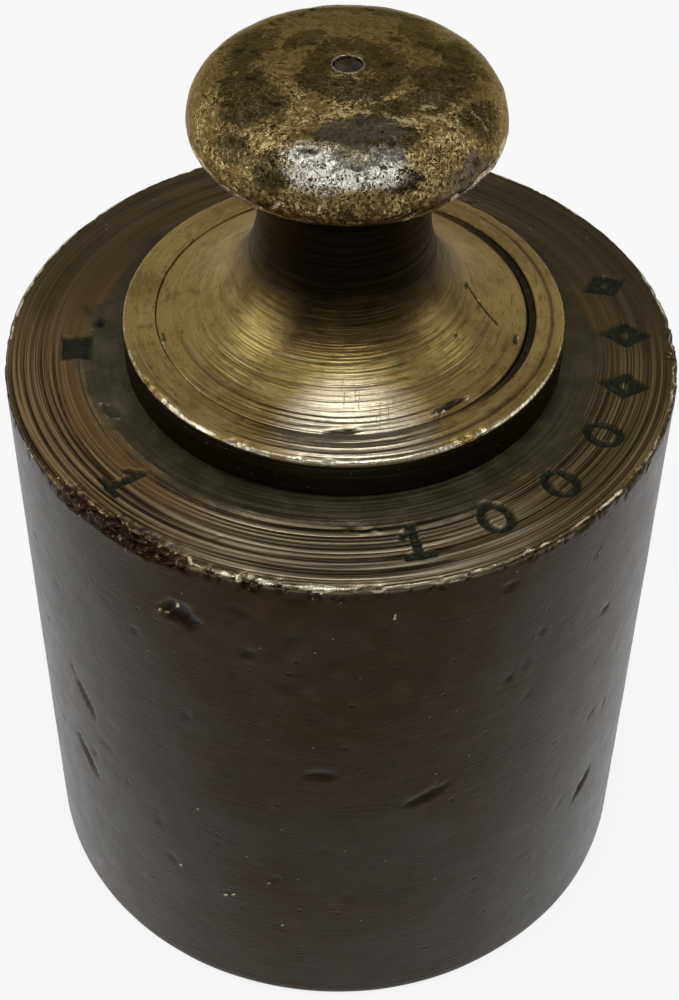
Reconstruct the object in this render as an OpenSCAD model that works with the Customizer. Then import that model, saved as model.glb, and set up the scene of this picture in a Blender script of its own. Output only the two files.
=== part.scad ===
// Cylindrical brass weight of one kilogram with a screw-in knob.
// Millimetres, +Z up, origin at the centre of the face it stands on.
// The body is bored from the top for adjusting shot, and the knob's threaded
// spigot closes the bore. A loose disc, the collar, swivels under the knob's foot.

/* [Body] */
// Diameter of the cylinder
body_d = 52; // [46:0.5:60]
// Height of the cylinder, from the face it stands on to the shoulder
body_h = 52.9; // [44:0.1:62]
// Chamfer at the upper rim
rim_chamfer = 0.5; // [0.2:0.1:1]
// Chamfer at the lower edge
foot_chamfer = 0.9; // [0.4:0.1:1.6]

/* [Adjusting chamber] */
// Diameter of the chamber below the thread
chamber_d = 17.2; // [14:0.2:17.6]
// Depth of the chamber below the end of the spigot
chamber_h = 13.2; // [9:0.2:20]
// Diameter of one ball of shot
shot_d = 3; // [2.4:0.1:3.2]
// Layers of shot
shot_layers = 2; // [1:1:3]

/* [Thread] */
// Diameter of the spigot's core, at the root of its thread
core_d = 18; // [16:0.1:18.4]
// Height of the thread above the core
thread_h = 0.85; // [0.5:0.05:1]
// Rise in one turn
pitch = 2; // [1.6:0.1:2.4]
// Full turns of thread
turns = 4; // [3:1:5]
// Space between the two threads, square to the axis
thread_gap = 0.15; // [0.1:0.05:0.2]
// Width of a ridge at its crest, as cut
crest_w = 0.5; // [0.3:0.05:0.6]
// Slope of a ridge's flank, its axial spread for each unit of height
flank = 0.4; // [0.2:0.05:0.5]

/* [Collar] */
// Diameter of the disc under the knob
collar_d = 33.8; // [32.5:0.1:40]
// Height of the disc's rim above the shoulder
collar_h = 3.27; // [2.6:0.01:4]
// Thickness left under the knob's foot
collar_web = 1.3; // [0.8:0.1:1.8]
// Chamfer at the disc's rim
collar_chamfer = 0.25; // [0.1:0.05:0.4]
// Space round the knob's foot, before the recess is shifted
foot_gap = 0.45; // [0.4:0.05:0.7]
// How far off centre the recess was turned
recess_shift = 0.3; // [0:0.05:0.35]
// Radial space between the disc's bore and the relief it turns on
collar_clear = 0.3; // [0.2:0.05:0.35]

/* [Knob] */
// Diameter of the foot that sits in the disc
foot_d = 28.4; // [26:0.1:29.6]
// Height of the foot's upper edge above the disc's rim
foot_proud = 0.23; // [0.05:0.01:0.6]
// Diameter of the neck
neck_d = 12.8; // [11:0.1:15]
// Height above the shoulder at which the flare runs into the neck
flare_top = 13; // [10:0.1:14]
// Horizontal reach of the flare's elliptic curve
flare_reach = 10.1; // [9.6:0.1:14]
// Diameter of the head at its widest
head_d = 22.8; // [20.5:0.1:26]
// Height of the widest place above the shoulder
head_mid = 20.8; // [20:0.1:24]
// Height of the crown above the widest place
crown_h = 4.3; // [4:0.1:5.5]
// Radius of the head's rounded edge
edge_r = 3.7; // [3:0.1:3.9]
// Diameter of the sharp edge under the head
under_d = 19.3; // [18.8:0.1:20.2]
// Depth of that edge below the widest place
under_drop = 2.26; // [1.6:0.02:2.8]
// Height of the hollow curve between the neck and the underside
under_curve = 4; // [3:0.1:4.5]
// Flat left between that curve and the sharp edge
under_lip = 0.5; // [0.2:0.1:0.9]

/* [Plug] */
// Diameter of the plug in the crown
plug_d = 2.2; // [1.6:0.1:3]
// Depth of its hole
plug_h = 3; // [2:0.1:5]
// How far the plug lies below the crown
plug_sunk = 0.12; // [0.05:0.01:0.3]

/* [Hidden] */
$fn = 96;
// Running clearance between flat faces that turn on each other
face_gap = 0.03;
// Space between the end of the spigot and the ledge at the foot of the thread
end_gap = 0.4;
// Depth of the relief above the thread, on which the collar turns
relief_depth = 0.5;
// Space between balls of shot, and between a ball and a wall
shot_gap = 0.1;
// Depth by which a ridge is rooted in the metal that carries it
root = 0.25;
// Straight facets in one turn of thread
steps = 30;
// Share of the thread's length over which it fades in and out
fade = 0.1;
// Straight pieces in a curve of a turned outline
curve_steps = 24;
// Small overlap that keeps cuts clean
eps = 0.01;

shoulder = body_h;
core_r = core_d / 2;
crest_r = core_r + thread_h;
bore_r = crest_r + thread_gap;
inner_r = core_r + thread_gap;
relief_r = core_r - relief_depth;
thread_len = pitch * turns;
spigot_end = shoulder - thread_len - pitch;
relief_end = shoulder - face_gap;
mouth_floor = spigot_end - end_gap;
chamber_r = chamber_d / 2;
chamber_floor = spigot_end - chamber_h;
foot_r = foot_d / 2;
recess_r = foot_r + foot_gap;
foot_bottom = shoulder + collar_web + face_gap;
foot_edge = collar_h + foot_proud;
neck_r = neck_d / 2;
head_r = head_d / 2;
under_r = under_d / 2;
crown = shoulder + head_mid + crown_h;
plug_r = plug_d / 2;

// Points of an elliptic arc round [cr, cz], from angle a0 to a1
function arc(cr, cz, rr, rz, a0, a1) =
    [for (i = [0:curve_steps])
        let (a = a0 + (a1 - a0) * i / curve_steps)
        [cr + rr * cos(a), cz + rz * sin(a)]];

// The crown is a shallow spherical cap that runs smoothly into the rounded edge
edge_cr = head_r - edge_r;
cap_r = (crown_h * crown_h + edge_cr * edge_cr - edge_r * edge_r) / (2 * (crown_h - edge_r));
cap_half = atan2(edge_cr, cap_r - crown_h);

// Below the widest place the edge turns in until it meets the sharp lower edge
under_a = acos(1 - (head_r - under_r) / edge_r);
under_rz = under_drop / sin(under_a);

// The flare's ellipse is cut off where it reaches the foot
flare_cr = neck_r + flare_reach;
flare_a = acos((flare_cr - foot_r) / flare_reach);
flare_rz = (flare_top - foot_edge) / sin(flare_a);

// One turned outline of the knob, from the end of the spigot up to the crown
function knob_outline() = concat(
    [[0, spigot_end], [core_r, spigot_end], [core_r, relief_end], [relief_r, relief_end],
     [relief_r, foot_bottom], [foot_r, foot_bottom]],
    arc(flare_cr, shoulder + flare_top, flare_reach, flare_rz, 180 + flare_a, 180),
    arc(under_r - under_lip, shoulder + head_mid - under_drop - under_curve,
        under_r - under_lip - neck_r, under_curve, 180, 90),
    arc(edge_cr, shoulder + head_mid, edge_r, under_rz, -under_a, 0),
    arc(edge_cr, shoulder + head_mid, edge_r, edge_r, 0, 90 - cap_half),
    arc(0, crown - cap_r, cap_r, cap_r, 90 - cap_half, 90));

// A helical ridge of trapezoid section round the Z axis.
// r0 is the radius of its buried root, r1 that of its crest, and count its turns.
module ridge(r0, r1, z0, count) {
    w0 = crest_w + 2 * flank * (thread_h + root);
    w1 = crest_w;
    n = count * steps;
    lead_in = ceil(n * fade);
    function share(i) = min(1, i / lead_in, (n - i) / lead_in);
    function section(i) =
        let (a = 360 * i / steps, z = z0 + pitch * i / steps,
             s = 0.08 + 0.92 * share(i),
             r = r0 + (r1 - r0) * s, w = w0 + (w1 - w0) * s)
        [for (c = [[r0, -w0], [r, -w], [r, w], [r0, w0]])
            [c[0] * cos(a), c[0] * sin(a), z + c[1] / 2]];
    points = [for (i = [0:n]) each section(i)];
    outward = r1 > r0;
    sides = [for (i = [0:n - 1], k = [0:3])
        let (a = 4 * i + k, b = 4 * i + (k + 1) % 4)
        each [[a, b, b + 4], [a, b + 4, a + 4]]];
    ends = [[0, 2, 1], [0, 3, 2], [4 * n, 4 * n + 1, 4 * n + 2], [4 * n, 4 * n + 2, 4 * n + 3]];
    faces = concat(sides, ends);
    polyhedron(points, [for (f = faces) outward ? f : [f[2], f[1], f[0]]]);
}

// Turned brass cylinder, bored and threaded at the top
module body() {
    color([0.36, 0.30, 0.20]) {
        rotate_extrude()
            polygon([
                [0, 0],
                [body_d / 2 - foot_chamfer, 0],
                [body_d / 2, foot_chamfer],
                [body_d / 2, shoulder - rim_chamfer],
                [body_d / 2 - rim_chamfer, shoulder],
                [bore_r, shoulder],
                [bore_r, mouth_floor],
                [chamber_r, mouth_floor],
                [chamber_r, chamber_floor],
                [0, chamber_floor]]);
        ridge(bore_r + root, inner_r, spigot_end + pitch, turns - 0.5);
    }
}

// Disc under the knob, with an off-centre recess for the knob's foot
module collar() {
    color([0.62, 0.53, 0.33])
        difference() {
            translate([0, 0, shoulder])
                rotate_extrude()
                    polygon([
                        [0, 0],
                        [collar_d / 2, 0],
                        [collar_d / 2, collar_h - collar_chamfer],
                        [collar_d / 2 - collar_chamfer, collar_h],
                        [0, collar_h]]);
            translate([recess_shift, 0, shoulder + collar_web])
                cylinder(r = recess_r, h = collar_h);
            translate([0, 0, shoulder - eps])
                cylinder(r = relief_r + collar_clear, h = collar_h);
        }
}

// Foot, flare, neck, head and threaded spigot, turned in one piece
module knob() {
    color([0.58, 0.50, 0.31]) {
        difference() {
            rotate_extrude()
                polygon(knob_outline());
            translate([0, 0, crown - plug_h])
                cylinder(r = plug_r, h = plug_h + eps);
        }
        ridge(core_r - root, crest_r, spigot_end + pitch / 2, turns);
    }
}

// Lead plug that fills the hole in the crown
module top_plug() {
    color([0.22, 0.22, 0.20])
        translate([0, 0, crown - plug_h])
            cylinder(r = plug_r, h = plug_h - plug_sunk);
}

// Loose lead shot, in close-packed layers on the chamber's floor
module lead_shot() {
    step = shot_d + shot_gap;
    layer_h = step * sqrt(2 / 3);
    reach = chamber_r - shot_d / 2 - shot_gap;
    rows = ceil(reach / step) + 1;
    bed = chamber_floor + shot_d / 2 + shot_gap;
    color([0.40, 0.41, 0.43])
        for (layer = [0:shot_layers - 1], i = [-rows:rows], j = [-rows:rows]) {
            x = step * (i + j / 2);
            y = step * (j * sqrt(3) / 2 + (layer % 2) / sqrt(3));
            if (norm([x, y]) <= reach)
                translate([x, y, bed + layer * layer_h])
                    sphere(d = shot_d, $fn = 32);
        }
}

body();
collar();
knob();
top_plug();
lead_shot();
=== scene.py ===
"""The looks of a one-kilogram brass knob weight, built round its packed frame."""
import math

import bpy
import numpy as np
from bpy.props import FloatProperty, FloatVectorProperty, IntProperty, PointerProperty
from bpy.types import Operator, Panel, PropertyGroup
from mathutils import Matrix, Vector


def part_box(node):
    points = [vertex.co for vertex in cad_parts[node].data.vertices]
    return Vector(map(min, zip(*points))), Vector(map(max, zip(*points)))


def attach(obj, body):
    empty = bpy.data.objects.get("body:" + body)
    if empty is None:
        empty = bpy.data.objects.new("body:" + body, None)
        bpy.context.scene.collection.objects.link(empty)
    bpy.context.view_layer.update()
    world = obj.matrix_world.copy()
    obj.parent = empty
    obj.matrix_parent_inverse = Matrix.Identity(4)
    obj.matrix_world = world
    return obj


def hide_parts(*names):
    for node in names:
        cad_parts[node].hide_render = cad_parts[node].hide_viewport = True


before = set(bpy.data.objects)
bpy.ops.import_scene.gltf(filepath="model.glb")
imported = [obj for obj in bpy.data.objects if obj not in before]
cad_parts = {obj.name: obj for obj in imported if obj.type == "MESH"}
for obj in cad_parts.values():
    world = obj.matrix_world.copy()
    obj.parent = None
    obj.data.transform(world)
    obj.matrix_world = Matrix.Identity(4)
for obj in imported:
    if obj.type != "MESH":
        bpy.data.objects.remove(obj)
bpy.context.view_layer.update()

bl_info = {
    "name": "Knob Weight",
    "version": (1, 0, 0),
    "blender": (4, 5, 0),
    "location": "3D View > Sidebar > Weight",
    "description": "Builds a turned brass weight with a screw-in knob, old and worn",
    "category": "Object",
}

# Meshes are worked out in millimetres and written in metres
MM = 0.001

# Sizes that the frame gives, in millimetres
BODY_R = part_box("body")[1].x / MM
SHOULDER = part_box("body")[1].z / MM
COLLAR_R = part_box("collar")[1].x / MM
COLLAR_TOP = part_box("collar")[1].z / MM
SPIGOT_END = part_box("knob")[0].z / MM
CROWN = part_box("knob")[1].z / MM
SHOT_LOW = (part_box("lead_shot")[0] / MM).z

# The shot of the solids, in millimetres
SHOT_D = 3.0
SHOT_GAP = 0.1
SHOT_LAYERS = 2

# Points in the finest ring of each turned piece
BODY_COLUMNS = 736
COLLAR_COLUMNS = 560
KNOB_COLUMNS = 448
PLUG_COLUMNS = 64


# Settings

def length(name, text, millimetres):
    """A size that a user can change, in scene units."""
    return FloatProperty(name=name, description=text, default=millimetres * MM, min=0,
                         subtype="DISTANCE", unit="LENGTH", precision=5)


def number(name, text, value, **rules):
    """A plain number or an angle that a user can change."""
    return FloatProperty(name=name, description=text, default=value, **rules)


def tint(name, text, colour):
    """A colour that a user can change."""
    return FloatVectorProperty(name=name, description=text, default=colour, size=3,
                               subtype="COLOR", min=0, max=1)


class WeightBody(PropertyGroup):
    """Sizes and colours of the cylinder."""
    rim_chamfer: length("Rim chamfer", "Width of the worn edge round the shoulder", 0.24)
    foot_chamfer: length("Foot chamfer", "Width of the edge that the weight stands on", 0.9)
    bore_r: length("Bore radius", "Radius of the threaded bore under the collar", 10.0)
    mouth_floor: length("Ledge height", "Height of the ledge at the foot of the thread", 42.5)
    chamber_r: length("Chamber radius", "Radius of the shot chamber", 8.6)
    chamber_floor: length("Chamber floor", "Height of the chamber's floor", 29.7)
    mark_height: length("Mark height", "Height of the punched numbers", 3.4)
    mark_depth: length("Mark depth", "Depth of the punched numbers", 0.3)
    nicks: IntProperty(name="Nicks", description="Small knocks on the side", default=150, min=0)
    patina: tint("Side patina", "Dark brown skin of the side", (0.020, 0.0108, 0.0028))
    shoulder_gold: tint("Shoulder brass", "Brass that shows through on the shoulder",
                        (0.190, 0.122, 0.042))
    shoulder_dark: tint("Shoulder patina", "Green-grey skin round the collar",
                        (0.060, 0.058, 0.033))


class WeightCollar(PropertyGroup):
    """Sizes of the loose disc under the knob."""
    bore_r: length("Bore radius", "Radius of the disc's own bore", 8.8)
    recess_r: length("Recess radius", "Radius of the recess for the knob's foot", 14.65)
    gap_wide: length("Widest gap", "Gap round the foot on the right", 0.55)
    gap_thin: length("Thinnest gap", "Gap round the foot in front and on the left", 0.04)
    lean: length("Lean", "How far the loose disc lies to the right", 0.15)
    crowned: length("Crowned", "How far the inner edge stands above the rim", 0.28)
    dirt: length("Dirt depth", "Depth of the gap above the dirt packed in it", 0.34)
    web: length("Web", "Thickness of the disc under the foot", 1.3)
    groove_r: length("Groove radius", "Radius of the turned line on the rim", 15.9)


class WeightKnob(PropertyGroup):
    """Sizes and colours of the knob."""
    core_r: length("Core radius", "Radius of the spigot at the root of its thread", 9.0)
    relief_r: length("Relief radius", "Radius of the relief on which the collar turns", 8.5)
    relief_gap: length("Relief gap", "Space between the spigot's core and the shoulder", 0.03)
    foot_r: length("Foot radius", "Radius of the foot in the collar's recess", 14.2)
    foot_low: length("Foot underside", "Height of the foot's underside above the shoulder", 1.33)
    foot_edge: length("Foot edge", "Height of the foot's upper edge above the shoulder", 3.5)
    neck_r: length("Neck radius", "Radius of the neck", 6.4)
    flare_top: length("Flare top", "Height above the shoulder where the flare meets the neck", 13.0)
    flare_reach: length("Flare reach", "Horizontal reach of the flare's curve", 10.1)
    head_r: length("Head radius", "Radius of the head", 11.4)
    head_mid: length("Head middle", "Height of the head's widest place above the shoulder", 20.8)
    edge_r: length("Edge radius", "Radius of the head's rounded edge", 3.7)
    under_r: length("Lip radius", "Radius of the sharp lip under the head", 9.65)
    under_drop: length("Lip drop", "Depth of that lip below the widest place", 2.26)
    under_curve: length("Hollow height", "Height of the hollow curve under the head", 4.0)
    under_lip: length("Lip flat", "Flat between that curve and the lip", 0.5)
    plug_r: length("Plug radius", "Radius of the plug in the crown", 1.1)
    plug_depth: length("Plug depth", "Depth of the plug's hole", 3.0)
    plug_sunk: length("Plug sunk", "How far the plug lies below the crown", 0.12)
    lean: length("Lean", "How far the head leans to the right", 0.2)
    brass: tint("Brass", "Handled brass of the flare and the collar", (0.350, 0.250, 0.082))
    bronze: tint("Bronze", "Browner patches of the handled brass", (0.210, 0.140, 0.042))
    tarnish: tint("Tarnish", "Dark patches on the head", (0.024, 0.020, 0.008))


class WeightThread(PropertyGroup):
    """Sizes of the two helical ridges."""
    pitch: length("Pitch", "Rise in one turn", 2.0)
    turns: number("Turns", "Turns of the spigot's ridge", 4.0, min=1)
    height: length("Height", "Height of a ridge above its root", 0.85)
    gap: length("Gap", "Space between the two threads", 0.15)
    root: length("Root", "Depth by which a ridge is rooted in its metal", 0.25)
    crest: length("Crest", "Width of a ridge at its crest", 0.5)
    flank: number("Flank", "Spread of a flank for each unit of height", 0.4)


class WeightStage(PropertyGroup):
    """Camera, lamps and floor."""
    camera_back: length("Camera distance", "Distance of the camera in front of the axis", 115.83)
    camera_high: length("Camera height", "Height of the camera", 152.63)
    camera_tilt: number("Tilt", "Tilt of the camera up from straight down", math.radians(44.66),
                        subtype="ANGLE", unit="ROTATION")
    camera_roll: number("Roll", "Roll of the camera", 0.01287, subtype="ANGLE", unit="ROTATION")
    lens: number("Lens", "Focal length in millimetres", 70.66, min=1)
    key_power: number("Key lamp", "Power of the small top lamp", 0.45, min=0)
    box_power: number("Top box", "Power of the wide top lamp", 0.75, min=0)
    side_power: number("Side boxes", "Power of the side lamps", 0.58, min=0)
    world_light: number("Room light", "Strength of the room's light", 0.38, min=0)


def in_mm(settings):
    """Every length of a settings group, in millimetres, by its name."""
    found = {}
    for name, rule in settings.bl_rna.properties.items():
        if getattr(rule, "subtype", "") == "DISTANCE":
            found[name] = getattr(settings, name) / MM
    return found


def placed(name, data):
    """A new object in the scene."""
    made = bpy.data.objects.new(name, data)
    bpy.context.scene.collection.objects.link(made)
    return made


# Noise and shapes, in millimetres

def hashed(cell, seed):
    """A fixed value from -1 to 1 for each corner of a lattice."""
    mixed = (cell[..., 0] * 73856093) ^ (cell[..., 1] * 19349663) ^ (cell[..., 2] * 83492791)
    mixed = (mixed + seed * 2654435) & 0xFFFFFFFF
    for shift, factor in ((15, 2246822519), (13, 3266489917)):
        mixed = ((mixed ^ (mixed >> shift)) * factor) & 0xFFFFFFFF
    return (mixed ^ (mixed >> 16)) / 0x7FFFFFFF - 1


def noise(points, size, seed):
    """Smooth noise from -1 to 1 at points, with lumps of one size."""
    scaled = points / size
    cell = np.floor(scaled).astype(np.int64)
    part = scaled - cell
    part = part * part * (3 - 2 * part)
    total = np.zeros(len(points))
    for dx in (0, 1):
        for dy in (0, 1):
            for dz in (0, 1):
                weight = np.ones(len(points))
                for axis, step in enumerate((dx, dy, dz)):
                    weight *= part[:, axis] if step else 1 - part[:, axis]
                total += weight * hashed(cell + (dx, dy, dz), seed)
    return total


def fractal(points, size, octaves, seed):
    """Noise summed over several sizes, each half of the one before."""
    return sum(noise(points, size / 2 ** k, seed + 31 * k) / 2 ** k for k in range(octaves))


def smooth(low, high, value):
    """A soft step from 0 at low to 1 at high."""
    t = np.clip((value - low) / (high - low), 0, 1)
    return t * t * (3 - 2 * t)


def line(start, end, step, level=0):
    """Points of an outline from a start up to an end, without the end itself."""
    count = max(1, round(math.dist(start, end) / step))
    return [(start[0] + (end[0] - start[0]) * i / count,
             start[1] + (end[1] - start[1]) * i / count, level) for i in range(count)]


def path(start, *legs):
    """Points along straight legs from a start, each leg an end, a step and a level."""
    points = []
    for end, step, *level in legs:
        points += line(start, end, step, *level)
        start = end
    return points


def bend(centre, reach, degrees, step, level=0):
    """Points of an elliptic arc between two angles, without its end."""
    first, last = (math.radians(a) for a in degrees)
    count = max(3, round(abs(last - first) * (reach[0] + reach[1]) / 2 / step))
    angles = [first + (last - first) * i / count for i in range(count)]
    return [(centre[0] + reach[0] * math.cos(a), centre[1] + reach[1] * math.sin(a), level)
            for a in angles]


class Skin:
    """A turned skin, rings of points along an outline, to be dented before it becomes a mesh.

    An outline point is (radius, height, level), and its ring holds every 2**level-th column.
    """

    def __init__(self, outline, columns, joined=False):
        self.joined = joined
        self.rows = np.array([p[:2] for p in outline], float)
        self.levels = [p[2] for p in outline]
        self.columns = np.asarray(columns, float)
        before = np.roll(self.rows, 1, axis=0)
        after = np.roll(self.rows, -1, axis=0)
        if not joined:
            before[0], after[-1] = self.rows[0], self.rows[-1]
        way = after - before
        if not joined:
            way[0] = way[-1] = 0
            way[0, 0], way[-1, 0] = 1, -1
        way /= np.maximum(np.linalg.norm(way, axis=1), 1e-9)[:, None]
        self.way = way
        self.first, ring, angle = [], [], []
        for i, level in enumerate(self.levels):
            self.first.append(len(ring))
            own = self.columns[:1] if self.is_pole(i) else self.columns[::2 ** level]
            ring.extend([i] * len(own))
            angle.extend(own)
        self.ring = np.array(ring)
        self.angle = np.array(angle)
        self.r, self.z = self.rows[self.ring].T
        self.out = np.stack([self.way[self.ring, 1], -self.way[self.ring, 0]], axis=1)
        self.flat = np.stack([np.cos(self.angle), np.sin(self.angle)], axis=1)
        self.rest = self.spread(self.r, self.z)
        self.push = np.zeros(len(self.r))
        self.shift = np.zeros((len(self.r), 3))
        self.fields = {}

    def is_pole(self, i):
        return self.rows[i, 0] < 1e-6

    def spread(self, r, z):
        """Points in space for a radius and height at each vertex."""
        return np.column_stack([r * self.flat[:, 0], r * self.flat[:, 1], z])

    def points(self):
        """Where each vertex ends, in millimetres."""
        r = self.r + self.push * self.out[:, 0]
        z = self.z + self.push * self.out[:, 1]
        return self.spread(r, z) + self.shift

    def near(self, radius, height, degrees, reach):
        """The vertices round a place on the outline, with their distance right and up from it."""
        i = int(np.argmin(np.hypot(self.rows[:, 0] - radius, self.rows[:, 1] - height)))
        angle = math.radians(degrees)
        middle = np.array([radius * math.cos(angle), radius * math.sin(angle), height])
        right = np.array([-math.sin(angle), math.cos(angle), 0])
        out, rise = self.way[i]
        up = np.array([out * math.cos(angle), out * math.sin(angle), rise])
        away = self.rest - middle
        found = np.nonzero(np.einsum("ij,ij->i", away, away) < reach * reach)[0]
        return found, away[found] @ right, away[found] @ up

    def raise_field(self, name, found, values):
        """Raises a field to at least some values at some vertices."""
        field = self.fields.setdefault(name, np.zeros(len(self.r)))
        field[found] = np.maximum(field[found], values)

    def paint(self, name, values):
        """Raises a field to at least some values everywhere."""
        self.raise_field(name, slice(None), values)

    def draw_in(self, amount):
        """Moves every vertex towards the axis."""
        self.shift[:, :2] -= self.flat * amount[:, None]

    def wrapped(self, radius):
        """Places round a circle, for marks that run on along the outline."""
        return np.column_stack([self.flat * radius, np.zeros(len(self.r))])

    def faces(self):
        """Quads and triangles between the rings, facing away from the metal."""
        quads, triangles = [], []
        pairs = list(zip(range(len(self.rows) - 1), range(1, len(self.rows))))
        if self.joined:
            pairs.append((len(self.rows) - 1, 0))
        for a, b in pairs:
            if self.is_pole(a) or self.is_pole(b):
                rim, pole = (b, a) if self.is_pole(a) else (a, b)
                count = len(self.columns) // 2 ** self.levels[rim]
                j = np.arange(count)
                k = (j + 1) % count
                side = (k, j) if self.is_pole(a) else (j, k)
                low = self.first[rim]
                tip = np.full(count, self.first[pole])
                triangles.append(np.column_stack([tip, low + side[0], low + side[1]]))
                continue
            count = len(self.columns) // 2 ** max(self.levels[a], self.levels[b])
            j = np.arange(count)
            k = (j + 1) % count
            low, high = self.first[a], self.first[b]
            if self.levels[a] == self.levels[b]:
                quads.append(np.column_stack([low + j, low + k, high + k, high + j]))
                continue
            half, full = 2 * j + 1, 2 * k
            if self.levels[a] > self.levels[b]:
                made = [(low + j, low + k, high + half), (low + j, high + half, high + 2 * j),
                        (low + k, high + full, high + half)]
            else:
                made = [(low + 2 * j, low + half, high + j), (low + half, low + full, high + k),
                        (low + half, high + k, high + j)]
            triangles.extend(np.column_stack(m) for m in made)
        return np.vstack(quads), np.vstack(triangles) if triangles else np.zeros((0, 3), int)

    def build(self, name, materials, pick=None):
        """The skin as an object, with its fields as attributes and a material for each face."""
        mesh = bpy.data.meshes.new(name)
        quads, triangles = self.faces()
        faces = quads.tolist() + triangles.tolist()
        mesh.from_pydata((self.points() * MM).tolist(), [], faces)
        for field, values in self.fields.items():
            attribute = mesh.attributes.new(field, "FLOAT", "POINT")
            attribute.data.foreach_set("value", np.clip(values, 0, 1).astype(np.float32))
        for material in materials:
            mesh.materials.append(material)
        if pick is not None:
            firsts = np.concatenate([quads[:, 0], triangles[:, 0]])
            mesh.polygons.foreach_set("material_index", pick(self)[firsts].astype(np.int32))
        mesh.shade_smooth()
        mesh.update()
        return placed(name, mesh)


def even_columns(count):
    """Angles of evenly spread columns."""
    return np.arange(count) * 2 * math.pi / count


def crowded_columns(count, middle, spread, share):
    """Angles of columns that stand closer together on one side."""
    fine = np.linspace(-math.pi, math.pi, 4001)
    density = 1 + share * smooth(spread + 0.35, spread, np.abs(fine))
    total = np.concatenate([[0], np.cumsum((density[1:] + density[:-1]) / 2)])
    return middle + np.interp(np.arange(count) / count * total[-1], total, fine)


# Marks that a skin can take

def gouge(skin, place, size, depth, turn=0.0, burr=0.0, dark=0.8, bright=0.0):
    """Presses a long hollow into a skin, of a length and width, with a raised lip."""
    found, right, up = skin.near(*place, reach=max(size) * 0.9)
    if not len(found):
        return
    c, s = math.cos(math.radians(turn)), math.sin(math.radians(turn))
    along = (right * c + up * s) / (size[0] / 2)
    across = (up * c - right * s) / (size[1] / 2)
    ragged = (1 + 0.25 * noise(skin.rest[found] + 7, min(size) * 0.6 + 0.15, 5)
              + 0.2 * noise(skin.rest[found], 0.4, 7))
    reach = np.hypot(along, across) * ragged
    hollow = np.clip(1 - reach ** 2, 0, None)
    broken = 0.5 + 0.7 * noise(skin.rest[found], max(size) * 0.5, 6) - 0.35 * np.sign(across)
    lip = np.exp(-((reach - 1.12) / 0.22) ** 2) * np.clip(broken, 0, 1)
    skin.push[found] += burr * lip - depth * hollow ** 0.7
    skin.raise_field("grime", found, dark * smooth(0.0, 0.5, hollow))
    skin.raise_field("wear_and_highlight", found, bright * lip)


def bar(right, up, start, end, width):
    """Distance outside a straight stroke with round ends."""
    sx, sy = end[0] - start[0], end[1] - start[1]
    t = np.clip(((right - start[0]) * sx + (up - start[1]) * sy) / (sx * sx + sy * sy), 0, 1)
    return np.hypot(right - start[0] - t * sx, up - start[1] - t * sy) - width / 2


def number_one(right, up, height):
    top, foot = height / 2 - 0.3, -height / 2 + 0.3
    stem = bar(right, up, (0, foot), (0, top), 0.72)
    flag = bar(right, up, (0, top), (-0.85, top - 0.75), 0.45)
    base = bar(right, up, (-0.95, foot), (0.95, foot), 0.5)
    return np.minimum(np.minimum(stem, flag), base)


def number_nought(right, up, height):
    wide, tall = 0.98, height / 2 - 0.35
    reach = np.maximum(np.hypot(right / wide, up / tall), 1e-3)
    stroke = 0.36 - 0.12 * np.abs(up) / tall
    return np.abs(reach - 1) / reach * np.hypot(right, up) - stroke


def lozenge(right, up, height):
    wide, tall = height * 0.36, height * 0.46
    edge = (np.abs(right) / wide + np.abs(up) / tall - 1) * wide * tall / math.hypot(wide, tall)
    return np.maximum(edge, 0.34 - np.hypot(right, up))


def square(right, up, height):
    return np.maximum(np.abs(right) - height * 0.46, np.abs(up) - height * 0.4)


def punch(skin, place, shape, height, depth, turn=0.0):
    """Punches a shape into a skin, with a rough floor, a slight burr and dark fill."""
    found, right, up = skin.near(*place, reach=height)
    c, s = math.cos(math.radians(turn)), math.sin(math.radians(turn))
    right, up = right * c + up * s, up * c - right * s
    wobble = 0.07 * noise(skin.rest[found], 0.45, 11)
    outside = shape(right, up, height) + wobble
    floor = 0.8 + 0.3 * noise(skin.rest[found], 0.3, 12)
    pressed = smooth(0.10, -0.12, outside)
    skin.push[found] += 0.035 * np.exp(-((outside - 0.16) / 0.1) ** 2) - depth * floor * pressed
    skin.raise_field("ink", found, smooth(0.14, -0.06, outside))


# Materials

class Wire:
    """A socket of a node tree, on which Python's operators add Math nodes."""

    def __init__(self, tree, socket):
        self.tree = tree
        self.socket = socket

    def maths(self, operation, *others):
        return self.tree.node("ShaderNodeMath", {"operation": operation},
                              dict(enumerate((self, *others))))

    def __add__(self, other):
        return self.maths("ADD", other)

    def __sub__(self, other):
        return self.maths("SUBTRACT", other)

    def __rsub__(self, other):
        return self.tree.node("ShaderNodeMath", {"operation": "SUBTRACT"}, {0: other, 1: self})

    def __mul__(self, other):
        return self.maths("MULTIPLY", other)

    def __truediv__(self, other):
        return self.maths("DIVIDE", other)

    def __pow__(self, other):
        return self.maths("POWER", other)

    __radd__ = __add__
    __rmul__ = __mul__

    def at_most(self, other):
        return self.maths("MINIMUM", other)

    def at_least(self, other):
        return self.maths("MAXIMUM", other)

    def size(self):
        return self.maths("ABSOLUTE")

    def step(self, low, high):
        """A soft step from 0 at low to 1 at high, which also takes high below low."""
        flip = high < low
        settings = {"interpolation_type": "SMOOTHSTEP"}
        limits = {"Value": self, "From Min": min(low, high), "From Max": max(low, high),
                  "To Min": 1.0 if flip else 0.0, "To Max": 0.0 if flip else 1.0}
        return self.tree.node("ShaderNodeMapRange", settings, limits)


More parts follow.
